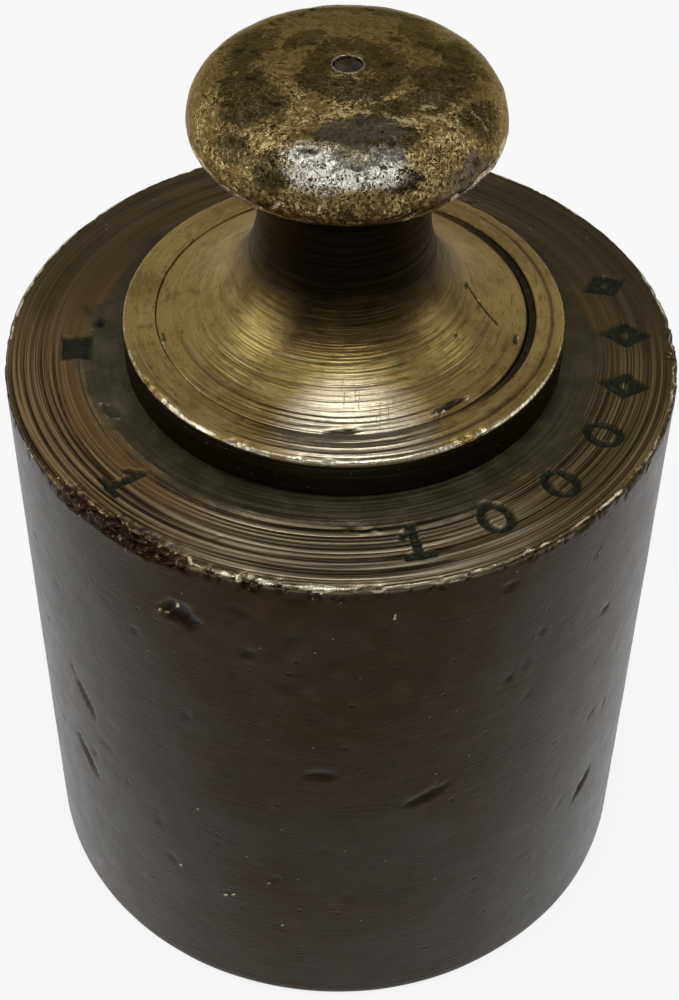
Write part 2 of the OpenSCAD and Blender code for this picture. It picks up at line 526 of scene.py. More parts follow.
class Tree:
    """A node tree. node() adds any node: its type, its settings first, then its sockets."""

    def __init__(self, tree):
        self.tree = tree
        self.tree.nodes.clear()

    def node(self, kind, settings=None, inputs=None, output=0):
        made = self.tree.nodes.new(kind)
        for key, value in (settings or {}).items():
            setattr(made, key, value)
        for key, value in (inputs or {}).items():
            if isinstance(value, Wire):
                self.tree.links.new(value.socket, made.inputs[key])
            else:
                made.inputs[key].default_value = value
        return Wire(self, made.outputs[output]) if made.outputs else None


class Finish(Tree):
    """One material, with the place on the object in millimetres."""

    def __init__(self, name):
        self.material = bpy.data.materials.new(name)
        self.material.use_nodes = True
        super().__init__(self.material.node_tree)
        place = self.node("ShaderNodeTexCoord", output="Object")
        self.point = self.vector("SCALE", place, Scale=1 / MM)
        self.x, self.y, self.z = (
            self.node("ShaderNodeSeparateXYZ", inputs={0: self.point}, output=axis)
            for axis in "XYZ")
        self.radius = (self.x * self.x + self.y * self.y) ** 0.5

    def vector(self, operation, *values, **named):
        return self.node("ShaderNodeVectorMath", {"operation": operation},
                         {**dict(enumerate(values)), **named})

    def joined(self, x, y, z):
        return self.node("ShaderNodeCombineXYZ", inputs={0: x, 1: y, 2: z})

    def field(self, name):
        return self.node("ShaderNodeAttribute", {"attribute_name": name}, output="Fac")

    def clouds(self, scale, detail=3.0, roughness=0.55, distortion=0.0, where=None, shift=0.0):
        """Noise from 0 to 1, with a number of lumps to the millimetre."""
        vector = where or self.point
        if shift:
            vector = self.vector("ADD", vector, (shift, shift * 1.7, shift * 0.6))
        return self.node("ShaderNodeTexNoise", inputs={
            "Vector": vector, "Scale": scale, "Detail": detail, "Roughness": roughness,
            "Distortion": distortion})

    def turned(self, across, along, shift=0.0):
        """Coordinates whose noise runs in rings: fast along the radius, slow round the axis."""
        return self.joined(self.radius * across + shift, self.x * along, self.y * along)

    def mix(self, amount, first, second):
        """One colour over another."""
        colours = [c if isinstance(c, Wire) else (*c[:3], 1.0) for c in (first, second)]
        return self.node("ShaderNodeMix", {"data_type": "RGBA", "clamp_factor": True},
                         {0: amount, 6: colours[0], 7: colours[1]}, output=2)

    def cells(self, scale, shift=0.0):
        """Distance to the nearest of scattered points, in cell widths."""
        vector = self.vector("ADD", self.point, (shift, shift, shift)) if shift else self.point
        return self.node("ShaderNodeTexVoronoi", inputs={"Vector": vector, "Scale": scale},
                         output="Distance")

    def done(self, colour, roughness, height, tint=(1.0, 1.0, 1.0)):
        """Ends the material: a metal with a relief whose height is in millimetres."""
        bump = self.node("ShaderNodeBump",
                         inputs={"Strength": 1.0, "Distance": MM, "Height": height})
        shader = self.node("ShaderNodeBsdfPrincipled", inputs={
            "Base Color": colour, "Roughness": roughness, "Metallic": 1.0,
            "Specular Tint": (*tint, 1.0), "Normal": bump})
        self.node("ShaderNodeOutputMaterial", inputs={"Surface": shader})
        return self.material


# Linear colours that the finishes mix
# Skin of the body's side
SIDE_GREY = (0.023, 0.0175, 0.0105)
SIDE_WARM = (0.042, 0.025, 0.0125)
SOOT = (0.008, 0.006, 0.004)
SIDE_SPECK = (0.22, 0.20, 0.17)
POCK = (0.007, 0.005, 0.004)
TICK = (0.006, 0.005, 0.004)
# Shoulder
SHOULDER_BROWN = (0.072, 0.050, 0.020)
LINE_BEIGE = (0.42, 0.33, 0.19)
LINE_GOLD = (0.33, 0.235, 0.10)
HAIR_GOLD = (0.38, 0.29, 0.15)
GROOVE = (0.011, 0.008, 0.004)
WARM_STRIP = (0.200, 0.118, 0.038)
OLIVE = (0.110, 0.100, 0.056)
# Painted shade on the back and right of the shoulder, and a painted highlight on its front
SHOULDER_BACK_SHADE = (0.036, 0.027, 0.011)
SHOULDER_RIGHT_SHADE = (0.036, 0.028, 0.013)
SHOULDER_RUBBED_HIGHLIGHT = (0.66, 0.58, 0.41)
FLECK = (0.35, 0.33, 0.26)
# Chips, ink and worn edges
CHIP = (0.024, 0.013, 0.008)
CHIP_BROWN = (0.070, 0.040, 0.024)
CHIP_PALE = (0.30, 0.22, 0.15)
DIRT = (0.010, 0.009, 0.007)
INK = (0.020, 0.024, 0.018)
INK_WORN = (0.045, 0.050, 0.036)
EDGE_BROWN = (0.10, 0.074, 0.044)
WORN_BROWN = (0.30, 0.25, 0.16)
WORN = (0.60, 0.52, 0.33)
BARE = (0.80, 0.76, 0.62)
# Flare, foot and collar
STAIN = (0.085, 0.064, 0.024)
STRAW = (0.36, 0.30, 0.14)
DAB_DARK = (0.080, 0.056, 0.020)
DAB_PALE = (0.46, 0.38, 0.20)
LINE_DARK = (0.085, 0.060, 0.024)
HAIR_PALE = (0.42, 0.36, 0.21)
SPECK_DARK = (0.030, 0.022, 0.010)
# Partly a painted highlight on the rubbed front of the flare
RUBBED_PALE_HIGHLIGHT = (0.66, 0.61, 0.46)
SCRATCH_PALE = (0.60, 0.55, 0.40)
# Painted shade under the head and on the collar's outer wall
FLARE_SHADE = (0.036, 0.023, 0.007)
NECK_SHADE = (0.0060, 0.0038, 0.0024)
WALL_SHADE = (0.010, 0.008, 0.005)
WALL_SPECK = (0.35, 0.33, 0.28)
PACKED_DIRT = (0.024, 0.021, 0.013)
# Head
HEAD_BRASS = (0.162, 0.115, 0.042)
HEAD_BROWN = (0.076, 0.050, 0.016)
FRECKLE = (0.022, 0.013, 0.004)
NET_GOLD = (0.42, 0.31, 0.11)
# Painted glints on the polished crests
NET_GLINT = (0.92, 0.76, 0.38)
TARNISH_PALE = (0.062, 0.050, 0.019)
CRUMBLED = (0.026, 0.015, 0.005)
# Painted shade on the back of the head
HEAD_BACK_SHADE = (0.046, 0.038, 0.018)
# Painted highlight of the silvery spot and its halo
HALO_HIGHLIGHT = (0.86, 0.78, 0.56)
SILVER_HIGHLIGHT = (1.0, 0.97, 0.86)
SILVER_HIGHLIGHT_DULL = (0.70, 0.66, 0.53)
SILVER_DARK = (0.060, 0.050, 0.030)
SILVER_GREY = (0.11, 0.10, 0.07)
# Painted reflection on the grey tarnish beside the silvery spot
TARNISH_SHEEN_PALE = (0.105, 0.096, 0.070)
TARNISH_SHEEN_DARK = (0.056, 0.050, 0.036)
PIT = (0.014, 0.009, 0.004)
BEVEL_PALE = (0.135, 0.108, 0.092)
BEVEL_DARK = (0.040, 0.030, 0.024)
VEIN = (0.60, 0.50, 0.26)
HEAD_WORN = (0.30, 0.25, 0.20)
HEAD_BARE = (0.62, 0.54, 0.42)
# Lead
LEAD = (0.085, 0.071, 0.047)
LEAD_DARK = (0.036, 0.026, 0.015)


def body_finish(colours):
    """Dark skin on the side, turned lines and stained brass on the shoulder, with a painted
    highlight in front and painted shade to the back and the right.
    """
    f = Finish("body_patina")
    wear_and_highlight, grime, ink, chip, top = (f.field(n) for n in ("wear_and_highlight", "grime", "ink", "chip", "top"))
    # The side: brown and grey clouds with faint turning lines, speckles and slanting ticks
    broad = f.clouds(0.07, 3.0, 0.6)
    stain = f.clouds(0.45, 5.0, 0.6, shift=9.0)
    crumbs = f.clouds(3.6, 4.0, 0.7, shift=31.0)
    lathe = f.clouds(1.0, 3.0, 0.6, where=f.joined(f.x * 0.10, f.y * 0.10, f.z * 3.0))
    side = f.mix(broad.step(0.42, 0.6), colours.patina, SIDE_GREY)
    side = f.mix(stain.step(0.5, 0.72) * 0.45, side, SIDE_WARM)
    side = f.mix((1 - stain).step(0.55, 0.75) * 0.6, side, SOOT)
    specks = f.cells(0.42, 3.0).step(0.045, 0.03)
    side = f.mix(specks * 0.5, side, SIDE_SPECK)
    pocks = f.cells(0.55, 8.0).step(0.16, 0.10) * stain.step(0.50, 0.58)
    side = f.mix(pocks * 0.7, side, POCK)
    around = (f.y * -1.0).maths("ARCTAN2", f.x) * -BODY_R
    front = around.size().step(80.0, 76.0)
    slant = f.joined(around * 0.42 + f.z * 0.30, f.z * 3.4 - around * 2.4, 0.0)
    ticks = f.clouds(1.0, 1.0, 0.5, where=slant, shift=50.0).step(0.675, 0.73) * front
    side = f.mix(ticks * 0.8, side, TICK)
    side_rough = 0.24 + 0.16 * stain + 0.08 * lathe
    side_height = 0.018 * lathe + 0.030 * stain + 0.012 * crumbs - 0.012 * ticks - 0.03 * pocks
    # The shoulder: beige and golden lines between dark ones, green-black next to the collar
    fine = f.clouds(1.0, 0.0, 0.5, where=f.turned(4.0, 0.035))
    band = f.clouds(1.0, 3.0, 0.65, where=f.turned(0.9, 0.035, 21.0))
    patch = f.clouds(0.16, 4.0, 0.6, shift=17.0)
    # Partly a painted highlight: the lines' colour is strongest in front
    crisp_and_lit = 0.30 + 0.70 * f.y.step(2.0, -9.0)
    gold = (band * 0.8 + patch * 0.8).step(0.58, 0.98)
    upper = f.mix(gold, SHOULDER_BROWN, colours.shoulder_gold)
    beside = f.x.size().step(5.0, 13.0) * f.y.step(6.0, -3.0)
    pale = f.mix(beside, LINE_BEIGE, LINE_GOLD)
    upper = f.mix(fine.step(0.50, 0.66) * (0.7 - 0.44 * beside) * crisp_and_lit, upper, pale)
    groove = fine.step(0.47, 0.38) * (0.55 + 0.45 * patch.step(0.40, 0.55)) * (1 - 0.5 * beside)
    hair = f.clouds(1.0, 0.0, 0.5, where=f.turned(9.0, 0.05, 60.0))
    close = (0.8 * f.y.step(-6.0, -12.0)).at_least(beside)
    upper = f.mix(hair.step(0.52, 0.64) * 0.50 * close, upper, HAIR_GOLD)
    groove = groove.at_least(hair.step(0.48, 0.38) * close * 0.95)
    upper = f.mix(groove * 0.92 * crisp_and_lit.at_least(beside * 0.85), upper, GROOVE)
    ragged = f.radius + (patch - 0.5) * 5.0 + (stain - 0.5) * 2.2
    warm = ragged.step(20.0, 20.7) * ragged.step(22.2, 21.2) * f.x.step(-3.0, -11.0)
    upper = f.mix(warm * 0.55, upper, WARM_STRIP)
    shade = ragged.step(20.6, 19.2)
    green = f.mix(stain.step(0.4, 0.65), colours.shoulder_dark, OLIVE)
    upper = f.mix(shade * 0.88, upper, green)
    # Painted shade: the shoulder is darker towards the back and on the right
    upper = f.mix(f.y.step(-8.0, 12.0) * 0.72, upper, SHOULDER_BACK_SHADE)
    upper = f.mix(f.x.step(8.0, 20.0) * 0.35, upper, SHOULDER_RIGHT_SHADE)
    # Painted highlight on the rubbed lines at the front of the shoulder, partly rubbed metal
    middle = f.y.step(-15.0, -20.0) * (f.x - 1.0).size().step(17.0, 5.0)
    rubbed = middle * (1 - 0.8 * shade) * band.step(0.35, 0.6)
    upper = f.mix(rubbed * (0.12 + 0.88 * fine.step(0.45, 0.56)), upper, SHOULDER_RUBBED_HIGHLIGHT)
    flecks = f.cells(0.8, 11.0).step(0.08, 0.05) * stain.step(0.47, 0.56)
    upper = f.mix(flecks * 0.6, upper, FLECK)
    upper_rough = 0.30 + 0.2 * patch + 0.15 * shade
    lines = (0.076 * fine * (1 - 0.5 * beside) + 0.09 * band * (1 - 0.7 * beside)
             + 0.022 * hair * close)
    upper_height = lines * (1 - 0.6 * shade) * crisp_and_lit + 0.05 * stain + 0.012 * crumbs
    colour = f.mix(top, side, upper)
    rough = side_rough * (1 - top) + upper_rough * top
    height = side_height * (1 - top) + upper_height * top
    # Chips, fill in the punched marks and bright worn metal, partly a painted highlight
    flakes = f.clouds(2.3, 3.0, 0.7, 0.6, shift=95.0)
    broken = f.mix(crumbs.step(0.50, 0.62), CHIP, CHIP_BROWN)
    broken = f.mix(flakes.step(0.58, 0.68), broken, CHIP_PALE)
    colour = f.mix(chip, colour, broken)
    colour = f.mix(grime * 0.85, colour, DIRT)
    fill = f.mix(crumbs.step(0.5, 0.62), INK, INK_WORN)
    colour = f.mix((ink * (0.3 + crumbs * 1.3)).at_most(1.0), colour, fill)
    shine = (wear_and_highlight * (0.15 + 1.5 * crumbs)).step(0.42, 0.66)
    colour = f.mix(wear_and_highlight.step(0.3, 0.8) * 0.6, colour, EDGE_BROWN)
    worn = f.mix(stain.step(0.4, 0.6), WORN_BROWN, WORN)
    worn = f.mix(wear_and_highlight.step(0.70, 0.95), worn, BARE)
    colour = f.mix(shine, colour, worn)
    rough = rough * (1 - 0.25 * shine) * (1 - 0.2 * chip) + 0.25 * ink
    height = height + 0.07 * crumbs * chip.at_least(ink).at_least(wear_and_highlight) + 0.09 * chip * stain
    return f.done(colour, rough, height)


def satin_finish(colours):
    """Handled brass of the flare, the foot and the collar, with its turning lines, painted shade
    under the head and on the collar's wall, and a painted highlight in front.
    """
    f = Finish("handled_brass")
    wear_and_highlight, grime = f.field("wear_and_highlight"), f.field("grime")
    along = f.radius - f.z
    broad = f.clouds(0.11, 4.0, 0.6, shift=3.0)
    stain = f.clouds(0.6, 6.0, 0.66, shift=12.0)
    grain = f.clouds(3.0, 3.0, 0.7, shift=25.0)
    # The turning lines are crisp in front and nearly rubbed away on the other sides; their stronger
    # colour in front is partly a painted highlight
    crisp_and_lit = 0.22 + 0.78 * f.y.step(0.0, -8.5)
    lines = f.clouds(1.0, 1.0, 0.6, where=f.joined(along * 1.9, f.x * 0.07, f.y * 0.07))
    hair = f.clouds(1.0, 2.0, 0.7, where=f.joined(along * 4.6 + 40.0, f.x * 0.16, f.y * 0.16))
    dabs = f.clouds(1.0, 3.0, 0.65, where=f.joined(along * 3.4 + 9.0, f.x * 0.95, f.y * 0.95))
    colour = f.mix(broad.step(0.44, 0.62) * 0.8, colours.brass, colours.bronze)
    colour = f.mix(stain.step(0.54, 0.70) * 0.5, colour, STAIN)
    colour = f.mix((1 - stain).step(0.56, 0.72) * 0.5, colour, STRAW)
    colour = f.mix(dabs.step(0.56, 0.68) * 0.6, colour, DAB_DARK)
    colour = f.mix((1 - dabs).step(0.57, 0.68) * 0.45, colour, DAB_PALE)
    colour = f.mix(lines.step(0.46, 0.34) * 0.5 * crisp_and_lit, colour, LINE_DARK)
    colour = f.mix(hair.step(0.55, 0.70) * 0.4 * crisp_and_lit, colour, HAIR_PALE)
    specks = f.cells(1.1, 2.0).step(0.10, 0.05) * stain.step(0.45, 0.6)
    colour = f.mix(specks * 0.8, colour, SPECK_DARK)
    # The front is painted paler, partly rubbed metal and partly a painted highlight
    pale = ((f.x - 1.0) * (f.x - 1.0) * 0.03 + (f.y + 14.5) * (f.y + 14.5) * 0.05).step(1.5, 0.1)
    colour = f.mix(pale * (0.45 + 0.6 * grain), colour, RUBBED_PALE_HIGHLIGHT)
    # Fine scratches across the lines, in front, where the knob is gripped
    spot = (f.x - 1.9).size().step(2.4, 1.2) * (f.y + 12.0).size().step(2.4, 1.4)
    across = f.clouds(1.0, 2.0, 0.7, where=f.joined(f.x * 5.5, f.y * 0.25, f.z * 0.2))
    scratch = across.step(0.58, 0.68) * spot
    colour = f.mix(scratch * 0.35, colour, SCRATCH_PALE)
    # Painted shade darkens the flare up into the neck, under the head, nearly to black
    level = f.z + (stain - 0.5) * 1.6 + (broad - 0.5) * 2.0 - f.x.step(-2.0, -7.0) * 1.1
    colour = f.mix(level.step(SHOULDER + 4.6, SHOULDER + 8.4) * 0.86, colour, FLARE_SHADE)
    neck = level.step(SHOULDER + 7.0, SHOULDER + 10.5)
    colour = f.mix(neck * 0.97, colour, NECK_SHADE)
    # Painted shade: the collar's outer wall is darkened nearly to black
    wall = (f.radius.step(COLLAR_R - 0.45, COLLAR_R - 0.32)
            * f.z.step(COLLAR_TOP - 0.20, COLLAR_TOP - 0.45))
    colour = f.mix(wall * 0.96, colour, WALL_SHADE)
    colour = f.mix(f.cells(1.2, 7.0).step(0.07, 0.04) * wall, colour, WALL_SPECK)
    colour = f.mix((grime * (0.8 + 0.4 * grain)).at_most(1.0), colour, PACKED_DIRT)
    shine = (wear_and_highlight * (0.3 + 1.2 * grain)).step(0.4, 0.7)
    colour = f.mix(shine, colour, f.mix(grain.step(0.4, 0.6), WORN, BARE))
    rough = 0.27 + 0.14 * stain + 0.15 * grime + 0.06 * neck + 0.2 * wall - 0.06 * shine
    height = (0.17 * lines + 0.045 * hair) * crisp_and_lit
    height = height + 0.05 * stain + 0.015 * dabs + 0.012 * grain + 0.02 * scratch
    return f.done(colour, rough, height, tint=(0.90, 0.84, 0.70))


def head_finish(colours):
    """Pitted, mottled brass of the head, with dark tarnish and a silvery worn spot under a painted
    highlight, painted glints, a painted grey reflection and painted shade at the back.
    """
    f = Finish("pitted_brass")
    wear_and_highlight, grime, tarnish, silver_highlight, tarnish_sheen, bevel, vein = (
        f.field(n) for n in ("wear_and_highlight", "grime", "tarnish", "silver_highlight", "tarnish_sheen", "bevel", "vein"))
    mottle = f.clouds(0.45, 4.0, 0.6, 0.4, shift=5.0)
    broken = f.clouds(1.3, 5.0, 0.7, 0.6, shift=44.0)
    freckle = f.clouds(3.2, 3.0, 0.65, shift=14.0)
    # A net of fine bright strands, where the crests of the pitted skin are polished; their
    # brightest parts are painted glints, brighter in front
    coarse = f.clouds(1.5, 2.0, 0.55, 0.9, shift=70.0)
    close = f.clouds(2.7, 2.0, 0.5, 1.2, shift=77.0)
    strands = 0.85 - (close - 0.5).size() * 10.0
    net = (1 - (coarse - 0.5).size() * 16.0).at_least(strands).at_least(0.0)
    worms = (1 - (close - 0.5).size() * 5.0).at_least(0.0)
    # Straight scratches, which slant down to the right
    slant = f.joined(f.x * 0.45 - f.y * 0.45, f.x * 3.6 + f.y * 3.6, f.z * 2.0)
    scratch = (f.clouds(1.0, 2.0, 0.5, where=slant, shift=90.0).step(0.60, 0.68)
               * broken.step(0.42, 0.55))
    colour = f.mix(mottle.step(0.42, 0.60), HEAD_BRASS, HEAD_BROWN)
    colour = f.mix(freckle.step(0.50, 0.58) * 0.8, colour, FRECKLE)
    spread = (broken * 0.8 + mottle * 0.7).step(0.54, 0.84)
    bright = net * (0.26 + 0.80 * spread) * (0.66 + 0.34 * f.y.step(1.0, -4.0))
    colour = f.mix(bright.at_least(scratch * 0.6) * 0.8, colour, NET_GOLD)
    colour = f.mix(bright.step(0.58, 0.92) * 0.8, colour, NET_GLINT)
    ragged = (mottle - 0.5) * 1.8 + (broken - 0.5) * 2.6 + (freckle - 0.5) * 0.9
    dark = (tarnish * 0.95 + ragged).step(0.53, 0.65)
    skin = f.mix(broken.step(0.42, 0.62), colours.tarnish, TARNISH_PALE)
    colour = f.mix(dark * (0.96 - 0.22 * net), colour, skin)
    # Towards the lower edge the skin is browner and crumbles
    under = (f.z.step(SHOULDER + 23.4, SHOULDER + 20.6)
             * (broken * 0.8 + freckle * 0.5).step(0.57, 0.70))
    colour = f.mix(under * 0.85, colour, CRUMBLED)
    # Painted shade: the back of the head is darker
    colour = f.mix(f.y.step(2.0, 10.0) * 0.5, colour, HEAD_BACK_SHADE)
    # The silvery spot is worn metal under a painted highlight, a white net over grey inside a
    # painted highlight halo; the smooth tarnish beside it is painted grey as a reflection
    highlight_halo = silver_highlight.step(0.0, 0.35) * net.step(0.25, 0.75)
    colour = f.mix(highlight_halo * 0.75, colour, HALO_HIGHLIGHT)
    frayed = silver_highlight + (broken - 0.5) * 2.4 + (freckle - 0.5) * 1.4 + (net - 0.4) * 0.5
    silver_highlight_mask = silver_highlight.step(0.04, 0.30) * frayed.step(0.40, 0.72)
    metal = f.mix(broken.step(0.46, 0.58), SILVER_HIGHLIGHT, SILVER_HIGHLIGHT_DULL)
    highlight_colour = f.mix(worms.step(0.30, 0.58), SILVER_DARK, metal)
    highlight_colour = f.mix((broken * 0.7 + mottle * 0.4).step(0.57, 0.65) * 0.75, highlight_colour, SILVER_GREY)
    colour = f.mix(silver_highlight_mask, colour, highlight_colour)
    # Painted reflection: the smooth tarnish beside the spot is painted grey
    torn = tarnish_sheen + (broken - 0.5) * 1.8 + (freckle - 0.5) * 1.0
    dull = tarnish_sheen.step(0.04, 0.25) * torn.step(0.40, 0.60)
    tarnish_sheen_colour = f.mix(freckle.step(0.44, 0.60), TARNISH_SHEEN_PALE, TARNISH_SHEEN_DARK)
    colour = f.mix(dull * (0.94 - 0.3 * net), colour, tarnish_sheen_colour)
    pits = f.cells(1.2, 6.0).step(0.20, 0.10) * mottle.step(0.46, 0.60)
    colour = f.mix(pits * 0.9, colour, PIT)
    edge = f.mix(broken.step(0.42, 0.6), BEVEL_PALE, BEVEL_DARK)
    colour = f.mix((bevel * (0.4 + broken)).at_most(1.0), colour, edge)
    colour = f.mix(grime * 0.92, colour, SOOT)
    twisted = f.clouds(1.1, 3.0, 0.6, 1.0, shift=83.0)
    crack = (1 - (twisted - 0.5).size() * 24.0).at_least(0.0) * vein.step(0.05, 0.45)
    thread = crack.at_least((vein * (1.6 * freckle + 1.2 * broken - 0.5)).step(0.74, 0.98))
    colour = f.mix(thread * 0.85, colour, VEIN)
    shine = (wear_and_highlight * (0.3 + 1.3 * freckle)).step(0.40, 0.66)
    worn = f.mix(freckle.step(0.42, 0.58), HEAD_WORN, HEAD_BARE)
    colour = f.mix(shine, colour, worn)
    rough = 0.26 + 0.10 * freckle - 0.03 * dark - 0.02 * silver_highlight_mask - 0.05 * shine
    dimples = f.clouds(0.7, 2.0, 0.5, shift=60.0)
    calm = 1 - 0.7 * dark.at_least(dull)
    height = (0.12 * dimples + 0.055 * broken + 0.022 * net + 0.030 * freckle) * calm
    height = (height + 0.05 * dimples + 0.045 * worms * silver_highlight_mask - 0.07 * pits - 0.010 * scratch
              + 0.02 * vein)
    return f.done(colour, rough, height, tint=(0.84, 0.74, 0.52))


def lead_finish():
    """Dull, scratched lead."""
    f = Finish("dull_lead")
    lumps = f.clouds(1.6, 4.0, 0.6)
    colour = f.mix(lumps.step(0.4, 0.65), LEAD_DARK, LEAD)
    return f.done(colour, 0.45 + 0.2 * lumps, 0.12 * lumps)


def floor_finish():
    """A pale floor that looks white, and keeps the weight's shadow."""
    f = Finish("pale_floor")
    ray, mirrored, through = (f.node("ShaderNodeLightPath", output=f"Is {kind} Ray")
                              for kind in ("Camera", "Glossy", "Transmission"))
    seen = ray.at_least(mirrored).at_least(through)
    paper = f.node("ShaderNodeBsdfDiffuse", inputs={"Color": (0.82, 0.82, 0.81, 1.0)})
    glow = f.node("ShaderNodeEmission", inputs={"Color": (1.0, 1.0, 1.0, 1.0), "Strength": 1.0})
    shader = f.node("ShaderNodeMixShader", inputs={0: seen * 0.86, 1: paper, 2: glow})
    f.node("ShaderNodeOutputMaterial", inputs={"Surface": shader})
    return f.material


def room_light(strength):
    """A plain room whose back wall is lighter than the side from which it is seen."""
    world = bpy.data.worlds.new("room")
    world.use_nodes = True
    room = Tree(world.node_tree)
    way = room.node("ShaderNodeTexCoord", output="Generated")
    right, back = (room.node("ShaderNodeSeparateXYZ", inputs={0: way}, output=axis)
                   for axis in "XY")
    fade = room.node("ShaderNodeMapRange", {"interpolation_type": "SMOOTHSTEP"}, {
        "Value": right.maths("MULTIPLY_ADD", -0.35, back), "From Min": -0.5, "From Max": 0.8,
        "To Min": 0.45 * strength, "To Max": 1.45 * strength})
    light = room.node("ShaderNodeBackground",
                      inputs={"Color": (1.0, 0.99, 0.97, 1.0), "Strength": fade})
    # What the camera sees of the room is plain white, like the floor
    paper = room.node("ShaderNodeBackground",
                      inputs={"Color": (1.0, 1.0, 1.0, 1.0), "Strength": 0.93})
    seen = room.node("ShaderNodeLightPath", output="Is Camera Ray")
    either = room.node("ShaderNodeMixShader", inputs={0: seen, 1: light, 2: paper})
    room.node("ShaderNodeOutputWorld", inputs={"Surface": either})
    return world


# Pieces

# Punched marks: shape, radius, angle in degrees, turn in degrees and share of the mark height
SHOULDER_MARKS = (
    (number_one, 21.9, -75.8, 0, 1.0),
    (number_nought, 21.8, -59.4, 0, 1.0),
    (number_nought, 22.0, -43.6, 0, 1.0),
    (number_nought, 21.9, -27.2, 0, 1.0),
    (lozenge, 22.0, -12.0, 4, 1.25),
    (lozenge, 22.2, 3.4, -5, 1.25),
    (lozenge, 22.3, 19.2, 6, 1.2),
    (number_one, 21.9, -134.9, -12, 0.95),
    (square, 20.5, -177.1, 3, 0.82),
    (square, 19.0, 174.2, -8, 0.3),
)
# Hollows on the shoulder: radius, angle, length, width, turn, depth, lip
SHOULDER_HOLLOWS = (
    (20.1, -85.8, 2.4, 0.62, -12, 0.10, 0.06),
    (19.0, -154.7, 2.2, 1.1, 20, 0.12, 0.03),
    (22.8, -112.0, 0.8, 0.3, 60, 0.10, 0.03),
    (21.0, 60.0, 2.0, 0.5, 30, 0.10, 0.02),
)
# Hollows on the side: angle, depth below the shoulder, length, width, turn, depth, lip
SIDE_HOLLOWS = (
    (-116.5, 5.4, 2.6, 2.2, 20, 0.34, 0.07),
    (-113.6, 5.9, 1.6, 1.4, 0, 0.24, 0.03),
    (-105.4, 3.4, 2.2, 0.3, -40, 0.12, 0.03),
    (-125.0, 9.8, 0.8, 0.7, 0, 0.14, 0.04),
    (-104.7, 7.9, 0.9, 0.7, 10, 0.14, 0.05),
    (-141.2, 23.9, 5.2, 0.7, -52, 0.20, 0.02),
    (-143.1, 32.5, 4.6, 0.9, -50, 0.22, 0.02),
    (-93.0, 21.1, 2.7, 1.1, 3, 0.20, 0.02),
    (-73.9, 24.7, 4.4, 1.0, 27, 0.24, 0.03),
    (-36.9, 35.9, 3.4, 0.9, 42, 0.24, 0.02),
    (-62.3, 2.7, 1.2, 0.7, 15, 0.18, 0.04),
    (-38.2, 12.8, 1.5, 0.5, 20, 0.14, 0.02),
    (-60.9, 13.3, 1.6, 0.4, 18, 0.12, 0.02),
    (64.0, 12.0, 3.2, 0.8, 35, 0.2, 0.02),
    (118.0, 30.0, 4.0, 0.9, -30, 0.22, 0.02),
    (150.0, 8.0, 1.8, 1.4, 0, 0.24, 0.04),
    (20.0, 40.0, 2.6, 0.8, 60, 0.2, 0.02),
    (88.0, 38.0, 2.0, 1.6, 0, 0.22, 0.03),
)
# Hollows on the flare: radius, height above the shoulder, angle, length, width, turn, depth, lip
FLARE_HOLLOWS = (
    (13.97, 3.60, -89.0, 2.9, 0.65, 7, 0.24, 0.05),
    (13.60, 3.66, -53.8, 2.9, 0.55, 2, 0.22, 0.04),
    (13.70, 3.62, -59.6, 0.9, 0.7, 15, 0.20, 0.12),
    (10.60, 5.10, -8.0, 4.0, 0.34, 57, 0.14, 0.01),
    (9.33, 6.12, -3.3, 1.1, 0.32, -12, 0.10, 0.01),
    (13.53, 3.67, -15.9, 1.5, 0.4, 8, 0.12, 0.01),
    (10.05, 5.49, -32.9, 0.45, 0.4, 0, 0.12, 0.01),
    (13.9, 3.60, -163.7, 1.3, 0.28, -8, 0.12, 0.01),
    (12.0, 4.3, 96.0, 2.2, 0.4, 20, 0.14, 0.02),
    (10.4, 5.2, 140.0, 1.6, 0.3, -30, 0.12, 0.02),
)
# Dark patches on the head: angle, radius from the axis, width across and along
HEAD_PATCHES = (
    (166, 1.9, 2.4, 1.3), (67, 2.6, 2.6, 1.3), (10, 2.4, 1.6, 1.7), (-45, 3.1, 2.4, 1.3),
    (-100, 2.9, 2.8, 1.2), (-140, 3.0, 2.0, 1.2), (156, 7.2, 2.6, 1.5), (148, 8.7, 2.0, 1.2),
    (-165, 7.3, 3.0, 1.9), (-148, 7.6, 2.2, 2.6), (135, 4.7, 2.2, 1.0), (-12, 6.7, 2.4, 2.6),
    (-32, 6.4, 2.0, 1.6), (12, 8.4, 2.6, 2.0), (42, 6.6, 2.8, 1.2), (-62, 5.9, 3.0, 1.0),
    (75, 8.2, 4.6, 1.2), (100, 9.2, 3.4, 1.4), (-24, 10.2, 2.2, 1.8), (-136, 10.6, 1.8, 1.0),
    (-118, 10.9, 1.4, 1.6), (-70, 10.9, 1.4, 0.8), (50, 10.4, 3.0, 1.6), (120, 10.6, 3.0, 1.5),
    (-84, 7.9, 2.7, 1.0), (-70, 8.4, 2.2, 1.3), (-100, 7.7, 1.4, 0.8),
)
# The silvery spot with its painted highlight, and the tarnish beside it that is painted grey as a
# reflection, given like the dark patches
HEAD_SILVER_HIGHLIGHT = ((-99.5, 10.1, 2.2, 1.5), (-105, 9.6, 1.7, 1.0), (-88, 10.5, 3.3, 0.75),
               (-75.5, 10.1, 1.4, 1.2))
HEAD_TARNISH_SHEEN = ((-83, 7.1, 3.3, 1.25), (-85.5, 9.3, 1.7, 1.1), (-71, 9.2, 0.8, 0.9))
